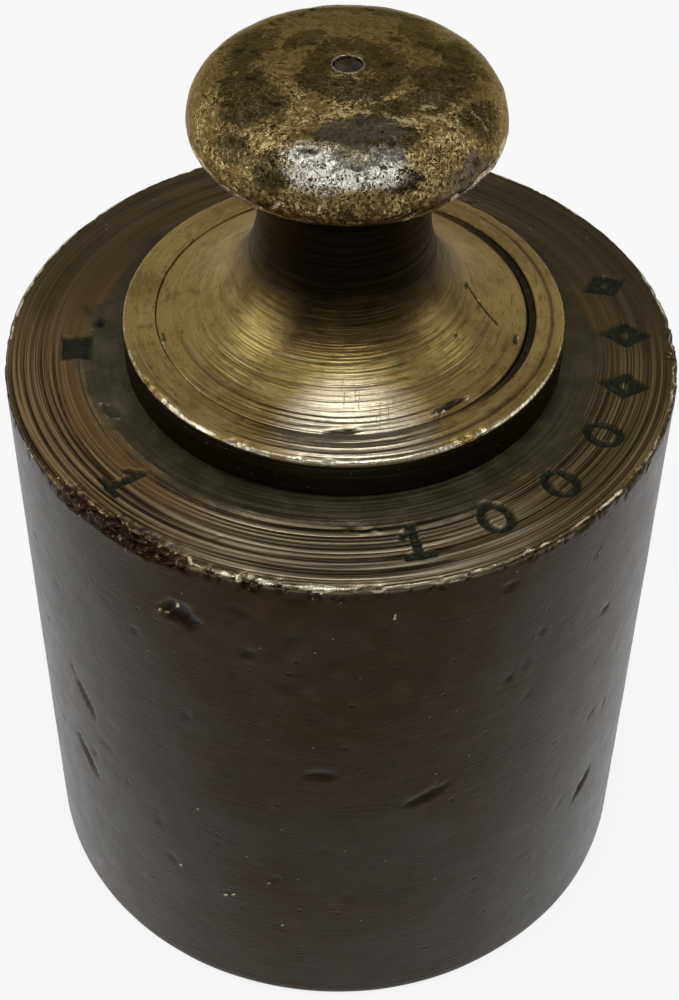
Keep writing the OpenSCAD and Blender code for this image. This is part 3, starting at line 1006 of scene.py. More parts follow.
# Bright veins on the head: two ends, each an angle and a radius, and the width
HEAD_VEINS = (
    ((-43.6, 6.72), (-35.6, 7.32), 0.26), ((-47.3, 7.27), (-39.0, 8.75), 0.24),
    ((-65.9, 5.82), (-54.4, 7.63), 0.30), ((-103.3, 5.59), (-72.3, 5.63), 0.30),
    ((-26.1, 9.21), (-26.6, 10.57), 0.17), ((-125.7, 9.84), (-120.7, 9.06), 0.17),
)
# Chips on the head's lower edge: angle, length and width, depth
EDGE_CHIPS = (
    (-27.4, (1.3, 0.9), 0.45), (-48.6, (0.9, 0.8), 0.4), (-38.0, (3.6, 1.0), 0.2),
    (-68.0, (1.6, 0.6), 0.14), (-120.0, (2.4, 0.6), 0.12), (150.0, (1.4, 0.8), 0.3),
    (60.0, (1.8, 0.9), 0.25),
)
# A long gouge on the front of the head: radius, angle, length, width, turn, depth, lip
HEAD_GOUGE = (9.28, -107.0, 1.9, 0.45, 4, 0.14, 0.06)
# Space kept between a skin and the side of the frame's box
INSET = 0.005
# Gap between the foot and the dirt packed round it
DIRT_GAP = 0.04
# Fine turned lines on the disc's upper face: radius, width, depth
FINE_LINES = ((15.3, 0.09, 0.03), (16.35, 0.08, 0.02))
# Turned grooves round the neck: height above the shoulder and depth
NECK_GROOVES = ((9.6, 0.05), (11.0, 0.035), (13.4, 0.05))


def body_outline(sizes):
    """The body's outline: underside, side, rim, shoulder, bore and chamber."""
    foot, rim = sizes["foot_chamfer"], sizes["rim_chamfer"]
    bore, chamber = sizes["bore_r"], sizes["chamber_r"]
    ledge, floor = sizes["mouth_floor"], sizes["chamber_floor"]
    inner = BODY_R - foot
    side_top = SHOULDER - rim
    return (
        [(0.0, 0.0, 4)]
        + path((1.6, 0), ((6, 0), 1.4, 4), ((14, 0), 1.2, 3), ((inner - 1, 0), 1.0, 2),
               ((inner, 0), 0.35, 1))
        + bend((inner, foot), (foot, foot), (-90, 0), 0.25, 1)
        + path((BODY_R, foot), ((BODY_R, side_top - 1.2), 0.42, 1), ((BODY_R, side_top), 0.2),
               ((BODY_R - rim, SHOULDER), 0.17), ((25.2, SHOULDER), 0.12), ((24.0, SHOULDER), 0.24),
               ((20.1, SHOULDER), 0.16), ((COLLAR_R, SHOULDER), 0.32), ((14, SHOULDER), 0.7, 1),
               ((bore + 0.3, SHOULDER), 0.9, 2), ((bore, SHOULDER - 0.3), 0.2, 2),
               ((bore, ledge), 0.8, 2), ((chamber, ledge), 0.7, 2), ((chamber, floor), 1.4, 2),
               ((4, floor), 1.2, 3), ((1.2, floor), 0.9, 4))
        + [(0.0, floor, 4)]
    )


def wear_rim(skin, sizes):
    """Chips, crumbles and polishes the edge round the shoulder, with a painted highlight along its
    front.
    """
    rim = sizes["rim_chamfer"]
    edge = np.hypot(skin.r - (BODY_R - rim / 2), skin.z - (SHOULDER - rim / 2))
    near = edge < 3.0
    around = skin.wrapped(BODY_R)
    degrees = np.degrees(np.arctan2(skin.flat[:, 1], skin.flat[:, 0]))
    facing = smooth(-172, -150, degrees) * smooth(12, -10, degrees)
    small = np.clip(fractal(around, 0.9, 3, 41) - 0.16, 0, None) * (0.10 + 0.44 * facing)
    rough = fractal(skin.rest, 0.5, 2, 42)
    zone = smooth(-145, -135, degrees) * smooth(-111, -121, degrees)
    dent = smooth(-106.5, -105, degrees) * smooth(-101.5, -103, degrees)
    broken = zone * (0.75 + 0.35 * noise(around, 2.2, 43)) + 0.22 * dent
    worn = np.where(near, small * np.exp(-(edge / 0.45) ** 2), 0)
    ragged = edge + 0.30 * noise(skin.rest, 0.9, 44) + 0.18 * noise(skin.rest, 0.45, 46)
    hollow = np.where(near, broken * smooth(1.0, 0.45, ragged), 0)
    depth = worn + hollow * (0.75 + 0.4 * rough)
    skin.draw_in(depth * 0.72)
    skin.shift[:, 2] -= depth * 0.70
    # A crumbling band on the shoulder follows the broken edge
    inward = BODY_R - rim - skin.r + 0.6 * noise(skin.rest, 0.9, 54)
    crumbly = zone * smooth(2.0, 0.8, inward) * (skin.z > SHOULDER - 0.05)
    lumps = noise(skin.rest, 0.34, 55)
    skin.shift[:, 2] -= 0.15 * crumbly * np.clip(lumps + 0.3, 0, 1)
    crumbs = 0.9 * crumbly * smooth(-0.1, 0.2, lumps)
    skin.paint("chip", np.maximum(smooth(0.15, 0.4, hollow), crumbs))
    skin.paint("wear_and_highlight", 0.62 * crumbly * smooth(-0.12, -0.35, lumps))
    # The upper corner is polished and the lower in spots; a painted highlight makes the upper
    # corner whitest in the middle of the front
    white = smooth(-114, -107, degrees) * smooth(-80, -90, degrees)
    front = (0.30 + 0.34 * smooth(-120, -112, degrees) + 0.60 * white
             + 0.26 * smooth(-84, -72, degrees))
    frayed = 0.8 + 0.6 * noise(skin.rest, 0.6, 47) + 0.3 * noise(around, 2.5, 48)
    corner = np.hypot(skin.r - (BODY_R - rim), skin.z - SHOULDER)
    lower = np.hypot(skin.r - BODY_R, skin.z - (SHOULDER - rim))
    lip = np.exp(-(corner / (0.19 + 0.07 * white)) ** 2) * front * np.clip(frayed, 0.1, 1.25)
    scraped = np.clip(1.5 * noise(around, 1.3, 50) + 0.6 * noise(skin.rest, 0.5, 52) - 0.3, 0, 1)
    lip = np.maximum(lip, 0.75 * np.exp(-(lower / 0.16) ** 2) * scraped * facing)
    # Dirt stays on the chamfer between the two corners
    stained = np.exp(-(edge / 0.17) ** 2) * np.clip(0.55 + 0.7 * noise(skin.rest, 0.8, 53), 0, 1)
    skin.paint("grime", 0.75 * stained * (1 - smooth(0.5, 0.9, lip)))
    # The edge is uneven all the way round
    burr = 0.10 * fractal(skin.rest, 0.6, 2, 49) * np.exp(-(edge / 0.4) ** 2) * (0.3 + 0.7 * facing)
    sunk = np.where(near, np.minimum(burr, 0.0), 0)
    skin.shift[:, 2] += sunk
    skin.draw_in(-sunk)
    # Bright metal borders the broken places
    border = smooth(0.03, 0.12, hollow) * smooth(0.42, 0.24, hollow)
    border = border * np.where(skin.z > SHOULDER - 0.4, 1.0, 0.62)
    glint = np.clip(0.35 + noise(skin.rest, 0.55, 45) * 1.6, 0, 1)
    skin.paint("wear_and_highlight", lip * (1 - smooth(0.1, 0.3, hollow)) + 0.66 * border * glint)
    # Short nicks across the edge
    dice = np.random.RandomState(12)
    for _ in range(46):
        size = dice.uniform(0.4, 1.2)
        gouge(skin, (BODY_R, SHOULDER - dice.uniform(0.1, 0.8), dice.uniform(-160, 5)),
              (size, size * dice.uniform(0.25, 0.5)), dice.uniform(0.06, 0.2),
              dice.uniform(50, 125), burr=0.04, dark=0.85, bright=0.7)


def scatter_nicks(skin, count, seed):
    """Small knocks all over the side, slanting the same way."""
    dice = np.random.RandomState(seed)
    for _ in range(count):
        angle = dice.uniform(-180, 180)
        height = SHOULDER - 50 * dice.uniform(0.02, 1) ** 1.2
        size = dice.uniform(0.5, 1.7)
        width = size * dice.uniform(0.25, 0.6)
        turn = dice.normal(30, 35)
        gouge(skin, (BODY_R, height, angle), (size, width), dice.uniform(0.03, 0.11), turn,
              burr=0.01, dark=dice.uniform(0.2, 0.8), bright=dice.choice([0, 0, 0, 0.9]))


def keep_inside(skin):
    """Draws in whatever stands outside the frame's box."""
    points = skin.points()
    reach = np.hypot(points[:, 0], points[:, 1])
    over = np.clip(reach - (BODY_R - INSET), 0, None)
    skin.draw_in(over)
    skin.shift[:, 2] += np.clip(-points[:, 2], 0, None)
    skin.shift[:, 2] -= np.clip(points[:, 2] - CROWN, 0, None)


def settle(piece, body, slot, *nodes):
    """Fixes a finished piece to its body and hides the packed nodes it stands for."""
    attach(piece, body)
    if nodes:
        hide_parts(*nodes)


class WEIGHT_OT_body(Operator):
    """Build the cylinder with its punched shoulder, chipped rim and dented side"""
    bl_idname = "weight.body"
    bl_label = "Body"

    def execute(self, context):
        settings = context.scene.weight_body
        sizes = in_mm(settings)
        columns = crowded_columns(BODY_COLUMNS, math.radians(-62), math.radians(88), 0.9)
        skin = Skin(body_outline(sizes), columns)
        side = smooth(BODY_R - 0.8, BODY_R - 0.2, skin.r)
        skin.push -= 0.035 + 0.035 * side * fractal(skin.rest, 7.0, 3, 21)
        on_top = (skin.z > SHOULDER - 0.01) & (skin.r > COLLAR_R)
        rings = np.column_stack([skin.r, skin.flat * 0.8])
        turned = 0.035 * noise(rings, 0.42, 22) + 0.02 * noise(rings, 1.1, 23)
        skin.push += np.where(on_top, turned, 0)
        for shape, radius, degrees, turn, share in SHOULDER_MARKS:
            punch(skin, (radius, SHOULDER, degrees), shape, sizes["mark_height"] * share,
                  sizes["mark_depth"], turn)
        for radius, degrees, size, width, turn, depth, lip in SHOULDER_HOLLOWS:
            gouge(skin, (radius, SHOULDER, degrees), (size, width), depth, turn, lip, 0.45, 0.75)
        for degrees, below, size, width, turn, depth, lip in SIDE_HOLLOWS:
            gouge(skin, (BODY_R, SHOULDER - below, degrees), (size, width), depth, turn, lip,
                  0.95, 0.25)
        scatter_nicks(skin, settings.nicks, 5)
        wear_rim(skin, sizes)
        skin.paint("top", smooth(SHOULDER - 0.5, SHOULDER - 0.15, skin.z))
        keep_inside(skin)
        made = skin.build("body_turned", [body_finish(settings)])
        settle(made, "cylinder", "body_brass", "body")
        return {"FINISHED"}


def collar_outline(sizes, foot):
    """The collar's outline: underside, wall, rim, recess down to its dirt, web and bore."""
    bore, recess, inner = sizes["bore_r"], sizes["recess_r"], foot + DIRT_GAP
    edge = 0.25
    high = COLLAR_TOP - 0.24
    dirt, floor = COLLAR_TOP - sizes["dirt"], SHOULDER + sizes["web"]
    return (
        path((bore, SHOULDER), ((COLLAR_R - 0.1, SHOULDER), 1.2),
             ((COLLAR_R, SHOULDER + 0.1), 0.1), ((COLLAR_R, COLLAR_TOP - edge), 0.28))
        + bend((COLLAR_R - edge, COLLAR_TOP - edge), (edge, edge), (0, 90), 0.1)
        + line((COLLAR_R - edge, COLLAR_TOP), (recess + 0.3, COLLAR_TOP), 0.09)
        + bend((recess + 0.3, high), (0.3, 0.24), (90, 180), 0.08)
        + path((recess, high), ((recess, dirt), 0.09), ((inner, dirt), 0.09),
               ((inner, floor), 0.35), ((bore, floor), 1.2), ((bore, SHOULDER), 0.4))
    )


def shape_disc(skin, sizes, foot):
    """Crowns the disc, and opens the joint round the foot on one side, which it returns."""
    recess, dirt = sizes["recess_r"], sizes["dirt"]
    open_side = smooth(0.25, 0.95, np.cos(skin.angle - math.radians(4)))
    wanted = foot + sizes["gap_thin"] + (sizes["gap_wide"] - sizes["gap_thin"]) * open_side
    moved = smooth(recess + 1.7, recess, skin.r) * smooth(foot + DIRT_GAP, recess, skin.r)
    skin.draw_in((recess - wanted) * (moved * (skin.z > SHOULDER + 0.15)))
    skin.shift[:, 0] += sizes["lean"] * smooth(recess + 0.2, recess + 1.6, skin.r)
    slope = np.clip((COLLAR_R - skin.r) / (COLLAR_R - recess), 0, 1)
    upper = smooth(COLLAR_TOP - 1.0, COLLAR_TOP - 0.3, skin.z)
    skin.shift[:, 2] += sizes["crowned"] * (1 - (1 - slope) ** 2) * upper
    sunk = np.clip(COLLAR_TOP - skin.z, 0, dirt)
    filled = (1 - open_side) * 0.85 * sunk * (skin.r < recess + 0.31)
    skin.shift[:, 2] += filled * smooth(COLLAR_TOP - 1.0, COLLAR_TOP - dirt, skin.z)
    return open_side


def wear_disc(skin, sizes, open_side):
    """Turned lines, nicks, bright edges and grime of the disc; the edges' brightness towards the
    front is a painted highlight.
    """
    groove_r = sizes["groove_r"]
    top = skin.z > COLLAR_TOP - 0.02
    line_side = 0.15 + 0.85 * smooth(0.0, 0.7, np.cos(skin.angle + math.radians(25)))
    for radius, width, depth in ((groove_r, 0.14, 0.10), *FINE_LINES):
        turned = np.exp(-((skin.r - radius) / width) ** 2)
        skin.push -= np.where(top, depth * line_side * turned, 0)
    rim = np.hypot(skin.r - COLLAR_R, skin.z - COLLAR_TOP)
    around = skin.wrapped(COLLAR_R)
    facing = smooth(0.1, 0.8, -skin.flat[:, 1])
    nick = np.clip(fractal(around, 0.9, 3, 51) - 0.2, 0, None) * np.exp(-(rim / 0.35) ** 2)
    nick *= 0.06 + 0.24 * facing
    skin.draw_in(nick)
    skin.shift[:, 2] -= nick
    skin.push += np.where(rim > 0.3, 0.012 * fractal(skin.rest, 1.4, 2, 52), 0) - 0.01
    # Painted highlight: the rim's worn edge is painted brighter towards the front
    front = 0.62 + 0.38 * smooth(0.2, 0.9, -skin.flat[:, 1])
    frayed = np.clip(0.9 + 0.5 * noise(skin.rest, 1.1, 53), 0, 1)
    skin.paint("wear_and_highlight", np.exp(-(rim / 0.32) ** 2) * front * frayed)
    packed = smooth(COLLAR_TOP + 0.02, COLLAR_TOP - 0.3, skin.z)
    packed = packed * (skin.r < sizes["recess_r"] + 0.2)
    skin.paint("grime", packed * (0.12 + 0.88 * open_side))
    groove = 0.7 * line_side * np.exp(-((skin.r - groove_r) / 0.15) ** 2)
    skin.paint("grime", np.where(top, groove, 0))


class WEIGHT_OT_collar(Operator):
    """Build the loose disc with the off-centre recess"""
    bl_idname = "weight.collar"
    bl_label = "Collar"

    def execute(self, context):
        sizes = in_mm(context.scene.weight_collar)
        settings = context.scene.weight_knob
        foot = settings.foot_r / MM
        skin = Skin(collar_outline(sizes, foot), even_columns(COLLAR_COLUMNS), joined=True)
        wear_disc(skin, sizes, shape_disc(skin, sizes, foot))
        made = skin.build("collar_turned", [satin_finish(settings)])
        settle(made, "disc", "knob_brass", "collar")
        return {"FINISHED"}


def crown_cap(sizes):
    """Where the head's rounded edge begins, from the axis, and the radius of the cap inside it."""
    edge = sizes["edge_r"]
    edge_mid = sizes["head_r"] - edge
    rise = CROWN - (SHOULDER + sizes["head_mid"])
    return edge_mid, (rise ** 2 + edge_mid ** 2 - edge ** 2) / (2 * (rise - edge))


def head_height(reach, sizes):
    """Height of the head's upper surface at a distance from the axis."""
    edge_mid, cap_r = crown_cap(sizes)
    if reach > edge_mid:
        drop = max(0, sizes["edge_r"] ** 2 - (reach - edge_mid) ** 2)
        return SHOULDER + sizes["head_mid"] + math.sqrt(drop)
    return CROWN - cap_r + math.sqrt(cap_r ** 2 - reach ** 2)


def knob_outline(sizes):
    """The knob's outline: spigot, foot, flare, neck, head and the plug's hole."""
    core, relief, foot = sizes["core_r"], sizes["relief_r"], sizes["foot_r"]
    neck, head, edge = sizes["neck_r"], sizes["head_r"], sizes["edge_r"]
    relief_end = SHOULDER - sizes["relief_gap"]
    foot_low, foot_edge = SHOULDER + sizes["foot_low"], SHOULDER + sizes["foot_edge"]
    flare_top, middle = SHOULDER + sizes["flare_top"], SHOULDER + sizes["head_mid"]
    reach = sizes["flare_reach"]
    flare_mid = neck + reach
    flare_turn = math.degrees(math.acos((flare_mid - foot) / reach))
    flare_tall = (flare_top - foot_edge) / math.sin(math.radians(flare_turn))
    lip = sizes["under_r"] - sizes["under_lip"]
    hollow = sizes["under_curve"]
    lip_high = middle - sizes["under_drop"]
    lip_turn = math.degrees(math.acos(1 - (head - sizes["under_r"]) / edge))
    lip_tall = sizes["under_drop"] / math.sin(math.radians(lip_turn))
    edge_mid, cap_r = crown_cap(sizes)
    cap_turn = math.degrees(math.atan2(edge_mid, cap_r - (CROWN - middle)))
    plug, deep = sizes["plug_r"], sizes["plug_depth"]
    plug_turn = math.degrees(math.asin(plug / cap_r))
    cap = (0, CROWN - cap_r)
    five = math.degrees(math.asin(5 / cap_r))
    rim = cap[1] + cap_r * math.cos(math.radians(plug_turn))
    return (
        [(0.0, SPIGOT_END, 3)]
        + path((1.5, SPIGOT_END), ((5, SPIGOT_END), 1.6, 3), ((core, SPIGOT_END), 1.3, 2),
               ((core, relief_end), 0.7, 2), ((relief, relief_end), 0.25, 2),
               ((relief, foot_low), 0.5, 2), ((foot - 0.4, foot_low), 1.2, 1),
               ((foot, foot_low), 0.4), ((foot, foot_edge), 0.3))
        + bend((flare_mid, flare_top), (reach, flare_tall), (180 + flare_turn, 180), 0.165)
        + bend((lip, lip_high - hollow), (lip - neck, hollow), (180, 90), 0.28)
        + line((lip, lip_high), (sizes["under_r"], lip_high), 0.2)
        + bend((edge_mid, middle), (edge, lip_tall), (-lip_turn, 0), 0.17)
        + bend((edge_mid, middle), (edge, edge), (0, 90 - cap_turn), 0.19)
        + bend(cap, (cap_r, cap_r), (90 - cap_turn, 90 - five), 0.19)
        + bend(cap, (cap_r, cap_r), (90 - five, 90 - 1.5 * plug_turn), 0.15, 1)
        + bend(cap, (cap_r, cap_r), (90 - 1.5 * plug_turn, 90 - plug_turn), 0.06, 1)
        + path((plug, rim), ((plug, rim - 0.4), 0.1, 2), ((plug, CROWN - deep), 0.9, 2))
        + [(plug, CROWN - deep, 2), (plug / 2, CROWN - deep, 3), (0.0, CROWN - deep, 3)]
    )


def streak(skin, first, last, width, sizes):
    """A raised bright line on the head between two places, each an angle and a radius."""
    ends = [np.array([reach * math.cos(math.radians(a)), reach * math.sin(math.radians(a)),
                      head_height(reach, sizes)]) for a, reach in (first, last)]
    way = ends[1] - ends[0]
    t = np.clip((skin.rest - ends[0]) @ way / (way @ way), 0, 1)
    away = np.linalg.norm(skin.rest - ends[0] - t[:, None] * way, axis=1)
    away = away + 0.18 * noise(skin.rest, 0.7, 69) + 0.35 * width * np.abs(2 * t - 1) ** 3
    skin.paint("vein", smooth(1.5 * width, 0.4 * width, away) * (skin.z > SHOULDER + 18))


def dent_head(skin, sizes):
    """Hammered hollows, pits, chips and stained patches of the head, and the places of its painted
    highlight and painted reflection.
    """
    lip_high = SHOULDER + sizes["head_mid"] - sizes["under_drop"]
    head = smooth(lip_high - 0.3, lip_high + 0.2, skin.z) * (skin.r > sizes["plug_r"] + 0.05)
    soft = fractal(skin.rest, 3.2, 3, 61)
    skin.push += head * (0.055 * soft - 0.06 + 0.02 * noise(skin.rest, 0.7, 62))
    dice = np.random.RandomState(8)
    for _ in range(70):
        reach = 11.0 * math.sqrt(dice.uniform(0.05, 1))
        high = head_height(reach, sizes)
        size = dice.uniform(0.35, 1.1)
        gouge(skin, (reach, high, dice.uniform(-180, 180)), (size, size * dice.uniform(0.3, 0.9)),
              dice.uniform(0.03, 0.10), dice.uniform(-90, 90), 0.012, dice.uniform(0.1, 0.9), 0.3)
    reach, degrees, size, width, turn, depth, lip = HEAD_GOUGE
    gouge(skin, (reach, head_height(reach, sizes), degrees), (size, width), depth, turn, lip,
          0.9, 0.8)
    for degrees, size, depth in EDGE_CHIPS:
        gouge(skin, (sizes["head_r"] - 0.2, lip_high + 1.5, degrees), size, depth, 35, 0.05,
              0.9, 0.9)
    tarnish = np.zeros(len(skin.r))
    for degrees, reach, wide, tall in HEAD_PATCHES:
        found, right, up = skin.near(reach, head_height(reach, sizes), degrees, 4.5)
        patch = smooth(1.5, 0.5, np.hypot(right / wide, up / tall))
        tarnish[found] = np.maximum(tarnish[found], patch)
    skin.paint("tarnish", tarnish * head)
    for name, places in (("silver_highlight", HEAD_SILVER_HIGHLIGHT), ("tarnish_sheen", HEAD_TARNISH_SHEEN)):
        for degrees, reach, wide, tall in places:
            found, right, up = skin.near(reach, head_height(reach, sizes), degrees, 6.5)
            skin.raise_field(name, found, smooth(1.5, 0.4, np.hypot(right / wide, up / tall)))
    for first, last, width in HEAD_VEINS:
        streak(skin, first, last, width, sizes)
    # The lower edge is rubbed bright, most on the left and right of the front; the strip is painted
    # only on the side facing the front, partly as a painted highlight
    edge = np.hypot(skin.z - lip_high, skin.r - sizes["under_r"])
    ragged = edge + 0.3 * noise(skin.rest, 0.8, 64) + 0.25 * noise(skin.rest, 2.5, 66)
    turn = np.degrees(skin.angle) % 360
    sides = np.maximum(smooth(195, 212, turn) * smooth(262, 240, turn),
                       smooth(285, 300, turn) * smooth(350, 335, turn))
    ahead = np.clip(-skin.flat[:, 1], 0, 1)
    above = skin.z - SHOULDER - sizes["head_mid"]
    tall = np.where(above < 0, 1.18 * sizes["under_drop"], sizes["edge_r"])
    slope = np.arcsin(np.clip(above / tall, -1, 1))
    slope = np.degrees(slope + np.arctan(0.99 * ahead))
    strip = smooth(25, 17, slope + 22 * (ragged - edge)) * (skin.z > lip_high - 0.05)
    skin.paint("wear_and_highlight", strip * (0.42 + 0.53 * sides) * smooth(0.05, 0.3, ahead))
    # A dark seam runs above the rubbed strip
    seam = np.exp(-((slope - 27) / 3.0) ** 2) * (skin.z > lip_high) * ahead * (1 - 0.5 * sides)
    skin.push -= 0.05 * seam
    skin.paint("grime", 0.5 * seam)
    # A flat, worn bevel on the right of the front
    degrees = np.degrees(skin.angle + 0.12 * noise(skin.rest, 1.5, 67)) % 360
    wedge = smooth(302, 310, degrees) * smooth(335, 328, degrees)
    low = smooth(56, 44, slope + 14 * noise(skin.rest, 1.2, 68)) * (skin.z > lip_high)
    skin.paint("bevel", wedge * low)
    skin.push -= 0.10 * wedge * low
    # The bright burr round the plug, and the dirt in its hole
    burr = np.exp(-((skin.r - sizes["plug_r"]) / 0.11) ** 2) * (skin.z > CROWN - 0.5)
    skin.push += 0.02 * burr
    skin.paint("wear_and_highlight", burr * (0.75 + 0.5 * noise(skin.rest, 0.8, 65)))
    inside = (skin.r < sizes["plug_r"] + 0.05) & (skin.z > SHOULDER + sizes["head_mid"])
    skin.paint("grime", 1.0 * inside)


def dent_flare(skin, sizes):
    """Turned lines, hollows, worn edge and grime of the flare, the neck and the foot."""
    foot_edge, neck_low = SHOULDER + sizes["foot_edge"], SHOULDER + sizes["flare_top"]
    flare = smooth(foot_edge - 0.4, foot_edge + 0.2, skin.z)
    flare = flare * smooth(neck_low + 3, neck_low, skin.z)
    rings = np.column_stack([np.hypot(skin.r, skin.z * 0.6), skin.flat * 0.8])
    facing = 0.2 + 0.8 * smooth(0.1, 0.9, -skin.flat[:, 1])
    turned = 0.022 * facing * noise(rings, 0.5, 71) + 0.012 * fractal(skin.rest, 2.5, 2, 72)
    skin.push += flare * turned - 0.012
    for radius, above, degrees, size, width, turn, depth, lip in FLARE_HOLLOWS:
        gouge(skin, (radius, SHOULDER + above, degrees), (size, width), depth, turn, lip,
              0.95, 0.8)
    for high, depth in NECK_GROOVES:
        groove = np.exp(-((skin.z - SHOULDER - high) / 0.13) ** 2) * (skin.r < 9)
        skin.push -= depth * groove
        skin.paint("grime", 0.5 * groove)
    # The foot's upper edge is rounded and rubbed, and dirt fills the joint under it
    edge = np.hypot(skin.r - sizes["foot_r"], skin.z - foot_edge)
    rounded = np.exp(-(edge / 0.26) ** 2) * (0.2 + 0.8 * smooth(0.1, 0.9, np.cos(skin.angle)))
    skin.draw_in(0.10 * rounded)
    skin.shift[:, 2] -= 0.09 * rounded
    rubbed = np.clip(0.35 + 0.5 * noise(skin.rest, 1.6, 73), 0, 1)
    skin.paint("wear_and_highlight", rubbed * np.exp(-(edge / 0.2) ** 2))
    hidden = (skin.z < foot_edge - 0.25) & (skin.z > SHOULDER + 1)
    skin.paint("grime", hidden * (0.3 + 0.7 * smooth(0.2, 0.9, np.cos(skin.angle))))


class WEIGHT_OT_knob(Operator):
    """Build the knob with its flare, neck and pitted head"""
    bl_idname = "weight.knob"
    bl_label = "Knob"

    def execute(self, context):
        settings = context.scene.weight_knob
        sizes = in_mm(settings)
        skin = Skin(knob_outline(sizes), even_columns(KNOB_COLUMNS))
        dent_flare(skin, sizes)
        dent_head(skin, sizes)
        skin.shift[:, 0] += sizes["lean"] * smooth(SHOULDER + 8, SHOULDER + 19, skin.z)
        keep_inside(skin)
        lip_low = SHOULDER + sizes["head_mid"] - sizes["under_drop"] - 0.1
        made = skin.build("knob_turned", [satin_finish(settings), head_finish(settings)],
                          lambda s: s.z > lip_low)
        settle(made, "grip", "knob_brass", "knob")
        return {"FINISHED"}


class WEIGHT_OT_plug(Operator):
    """Build the lead plug in the crown"""
    bl_idname = "weight.plug"
    bl_label = "Plug"

    def execute(self, context):
        sizes = in_mm(context.scene.weight_knob)
        radius = sizes["plug_r"] - 0.02
        low, high = CROWN - sizes["plug_depth"] + 0.02, CROWN - sizes["plug_sunk"] - 0.08
        outline = (
            [(0.0, low, 1)]
            + path((0.5, low), ((radius, low), 0.5, 1), ((radius, high - 0.1), 0.5),
                   ((radius - 0.1, high), 0.07), ((0.3, high), 0.08))
            + [(0.3, high, 1), (0.0, high, 1)]
        )
        skin = Skin(outline, even_columns(PLUG_COLUMNS))
        top = skin.z > high - 0.15
        skin.push += np.where(top, 0.05 * fractal(skin.rest, 0.6, 3, 81) - 0.02, 0)
        skin.shift[:, 0] += sizes["lean"]
        made = skin.build("plug_lead", [lead_finish()])
        settle(made, "grip", "lead", "top_plug")
        return {"FINISHED"}


# Geometry Nodes

class Builder(Tree):
    """A Geometry Nodes tree with named inputs, which ends in real instances and a material."""

    def __init__(self, name, inputs, material):
        super().__init__(bpy.data.node_groups.new(name, "GeometryNodeTree"))
        sockets = self.tree.interface
        for way in ("INPUT", "OUTPUT"):
            sockets.new_socket("Geometry", in_out=way, socket_type="NodeSocketGeometry")
        self.values = inputs
        for key, value in inputs.items():
            kind = "NodeSocketInt" if isinstance(value, int) else "NodeSocketFloat"
            sockets.new_socket(key, in_out="INPUT", socket_type=kind)
        self.source = self.tree.nodes.new("NodeGroupInput")
        self.material = material

    def take(self, name):
        return Wire(self, self.source.outputs[name])

    def make(self, name, geometry, source=None):
        """Ends the tree, runs it on an object and returns the result as a plain mesh object."""
        real = self.node("GeometryNodeRealizeInstances", inputs={0: geometry})
        painted = self.node("GeometryNodeSetMaterial", inputs={0: real, "Material": self.material})
        self.node("NodeGroupOutput", inputs={0: painted})
        host = placed(name + "_host", source or bpy.data.meshes.new(name + "_host"))
        modifier = host.modifiers.new("Build", "NODES")
        modifier.node_group = self.tree
        for item in self.tree.interface.items_tree:
            if item.in_out == "INPUT" and item.name in self.values:
                modifier[item.identifier] = self.values[item.name]
        view = bpy.context.evaluated_depsgraph_get()
        mesh = bpy.data.meshes.new_from_object(host.evaluated_get(view), depsgraph=view)
        host.modifiers.clear()
        bpy.data.objects.remove(host)
        if not len(mesh.vertices):
            raise RuntimeError(f"{name}: the node tree made no mesh")
        mesh.name = name
        return placed(name, mesh)


# Points in one turn of a thread's curve
HELIX_STEPS = 72


def helix(name, settings, low, root_r, crest_r, turns, material):
    """A helical ridge with a blunt crest, rooted in the metal that carries it."""
    tall = abs(crest_r - root_r)
    wide = settings["crest"] + 2 * settings["flank"] * tall
    inputs = {"Root radius": root_r * MM, "Turns": turns, "Rise": settings["pitch"] * turns * MM,
              "Root width": wide * MM, "Crest width": settings["crest"] * MM, "Height": tall * MM,
              "Low": low * MM, "Fade": 0.1}
    b = Builder(name, inputs, material)
    spiral = b.node("GeometryNodeCurveSpiral", inputs={
        "Resolution": HELIX_STEPS, "Rotations": b.take("Turns"), "Height": b.take("Rise"),
        "Start Radius": b.take("Root radius"), "End Radius": b.take("Root radius"),
        "Reverse": False})
    along = b.node("GeometryNodeSplineParameter")
    nearest = along.at_most(1.0 - along)
    share = (nearest / b.take("Fade")).at_most(1.0)
    fade = share.maths("MULTIPLY_ADD", 0.92, 0.08)
    upright = b.node("GeometryNodeSetCurveNormal", {"mode": "Z_UP"}, {0: spiral})
    sized = b.node("GeometryNodeSetCurveRadius", inputs={0: upright, "Radius": fade})
    profile = b.node("GeometryNodeCurvePrimitiveQuadrilateral", {"mode": "TRAPEZOID"}, {
        "Bottom Width": b.take("Root width"), "Top Width": b.take("Crest width"),
        "Height": b.take("Height"), "Offset": 0.0})
    # The profile stands on its root, and its crest points away from the metal that carries it
    half = b.node("ShaderNodeCombineXYZ", inputs={"Y": b.take("Height") * 0.5})
    seated = b.node("GeometryNodeTransform", inputs={0: profile, "Translation": half})
    quarter = math.pi / 2 if crest_r < root_r else -math.pi / 2
    turned = b.node("GeometryNodeTransform", inputs={0: seated, "Rotation": (0, 0, quarter)})
    ridge = b.node("GeometryNodeCurveToMesh", inputs={
        "Curve": sized, "Profile Curve": turned, "Scale": fade, "Fill Caps": True})
    start = b.node("ShaderNodeCombineXYZ", inputs={"Z": b.take("Low")})
    return b.make(name, b.node("GeometryNodeTransform", inputs={0: ridge, "Translation": start}))


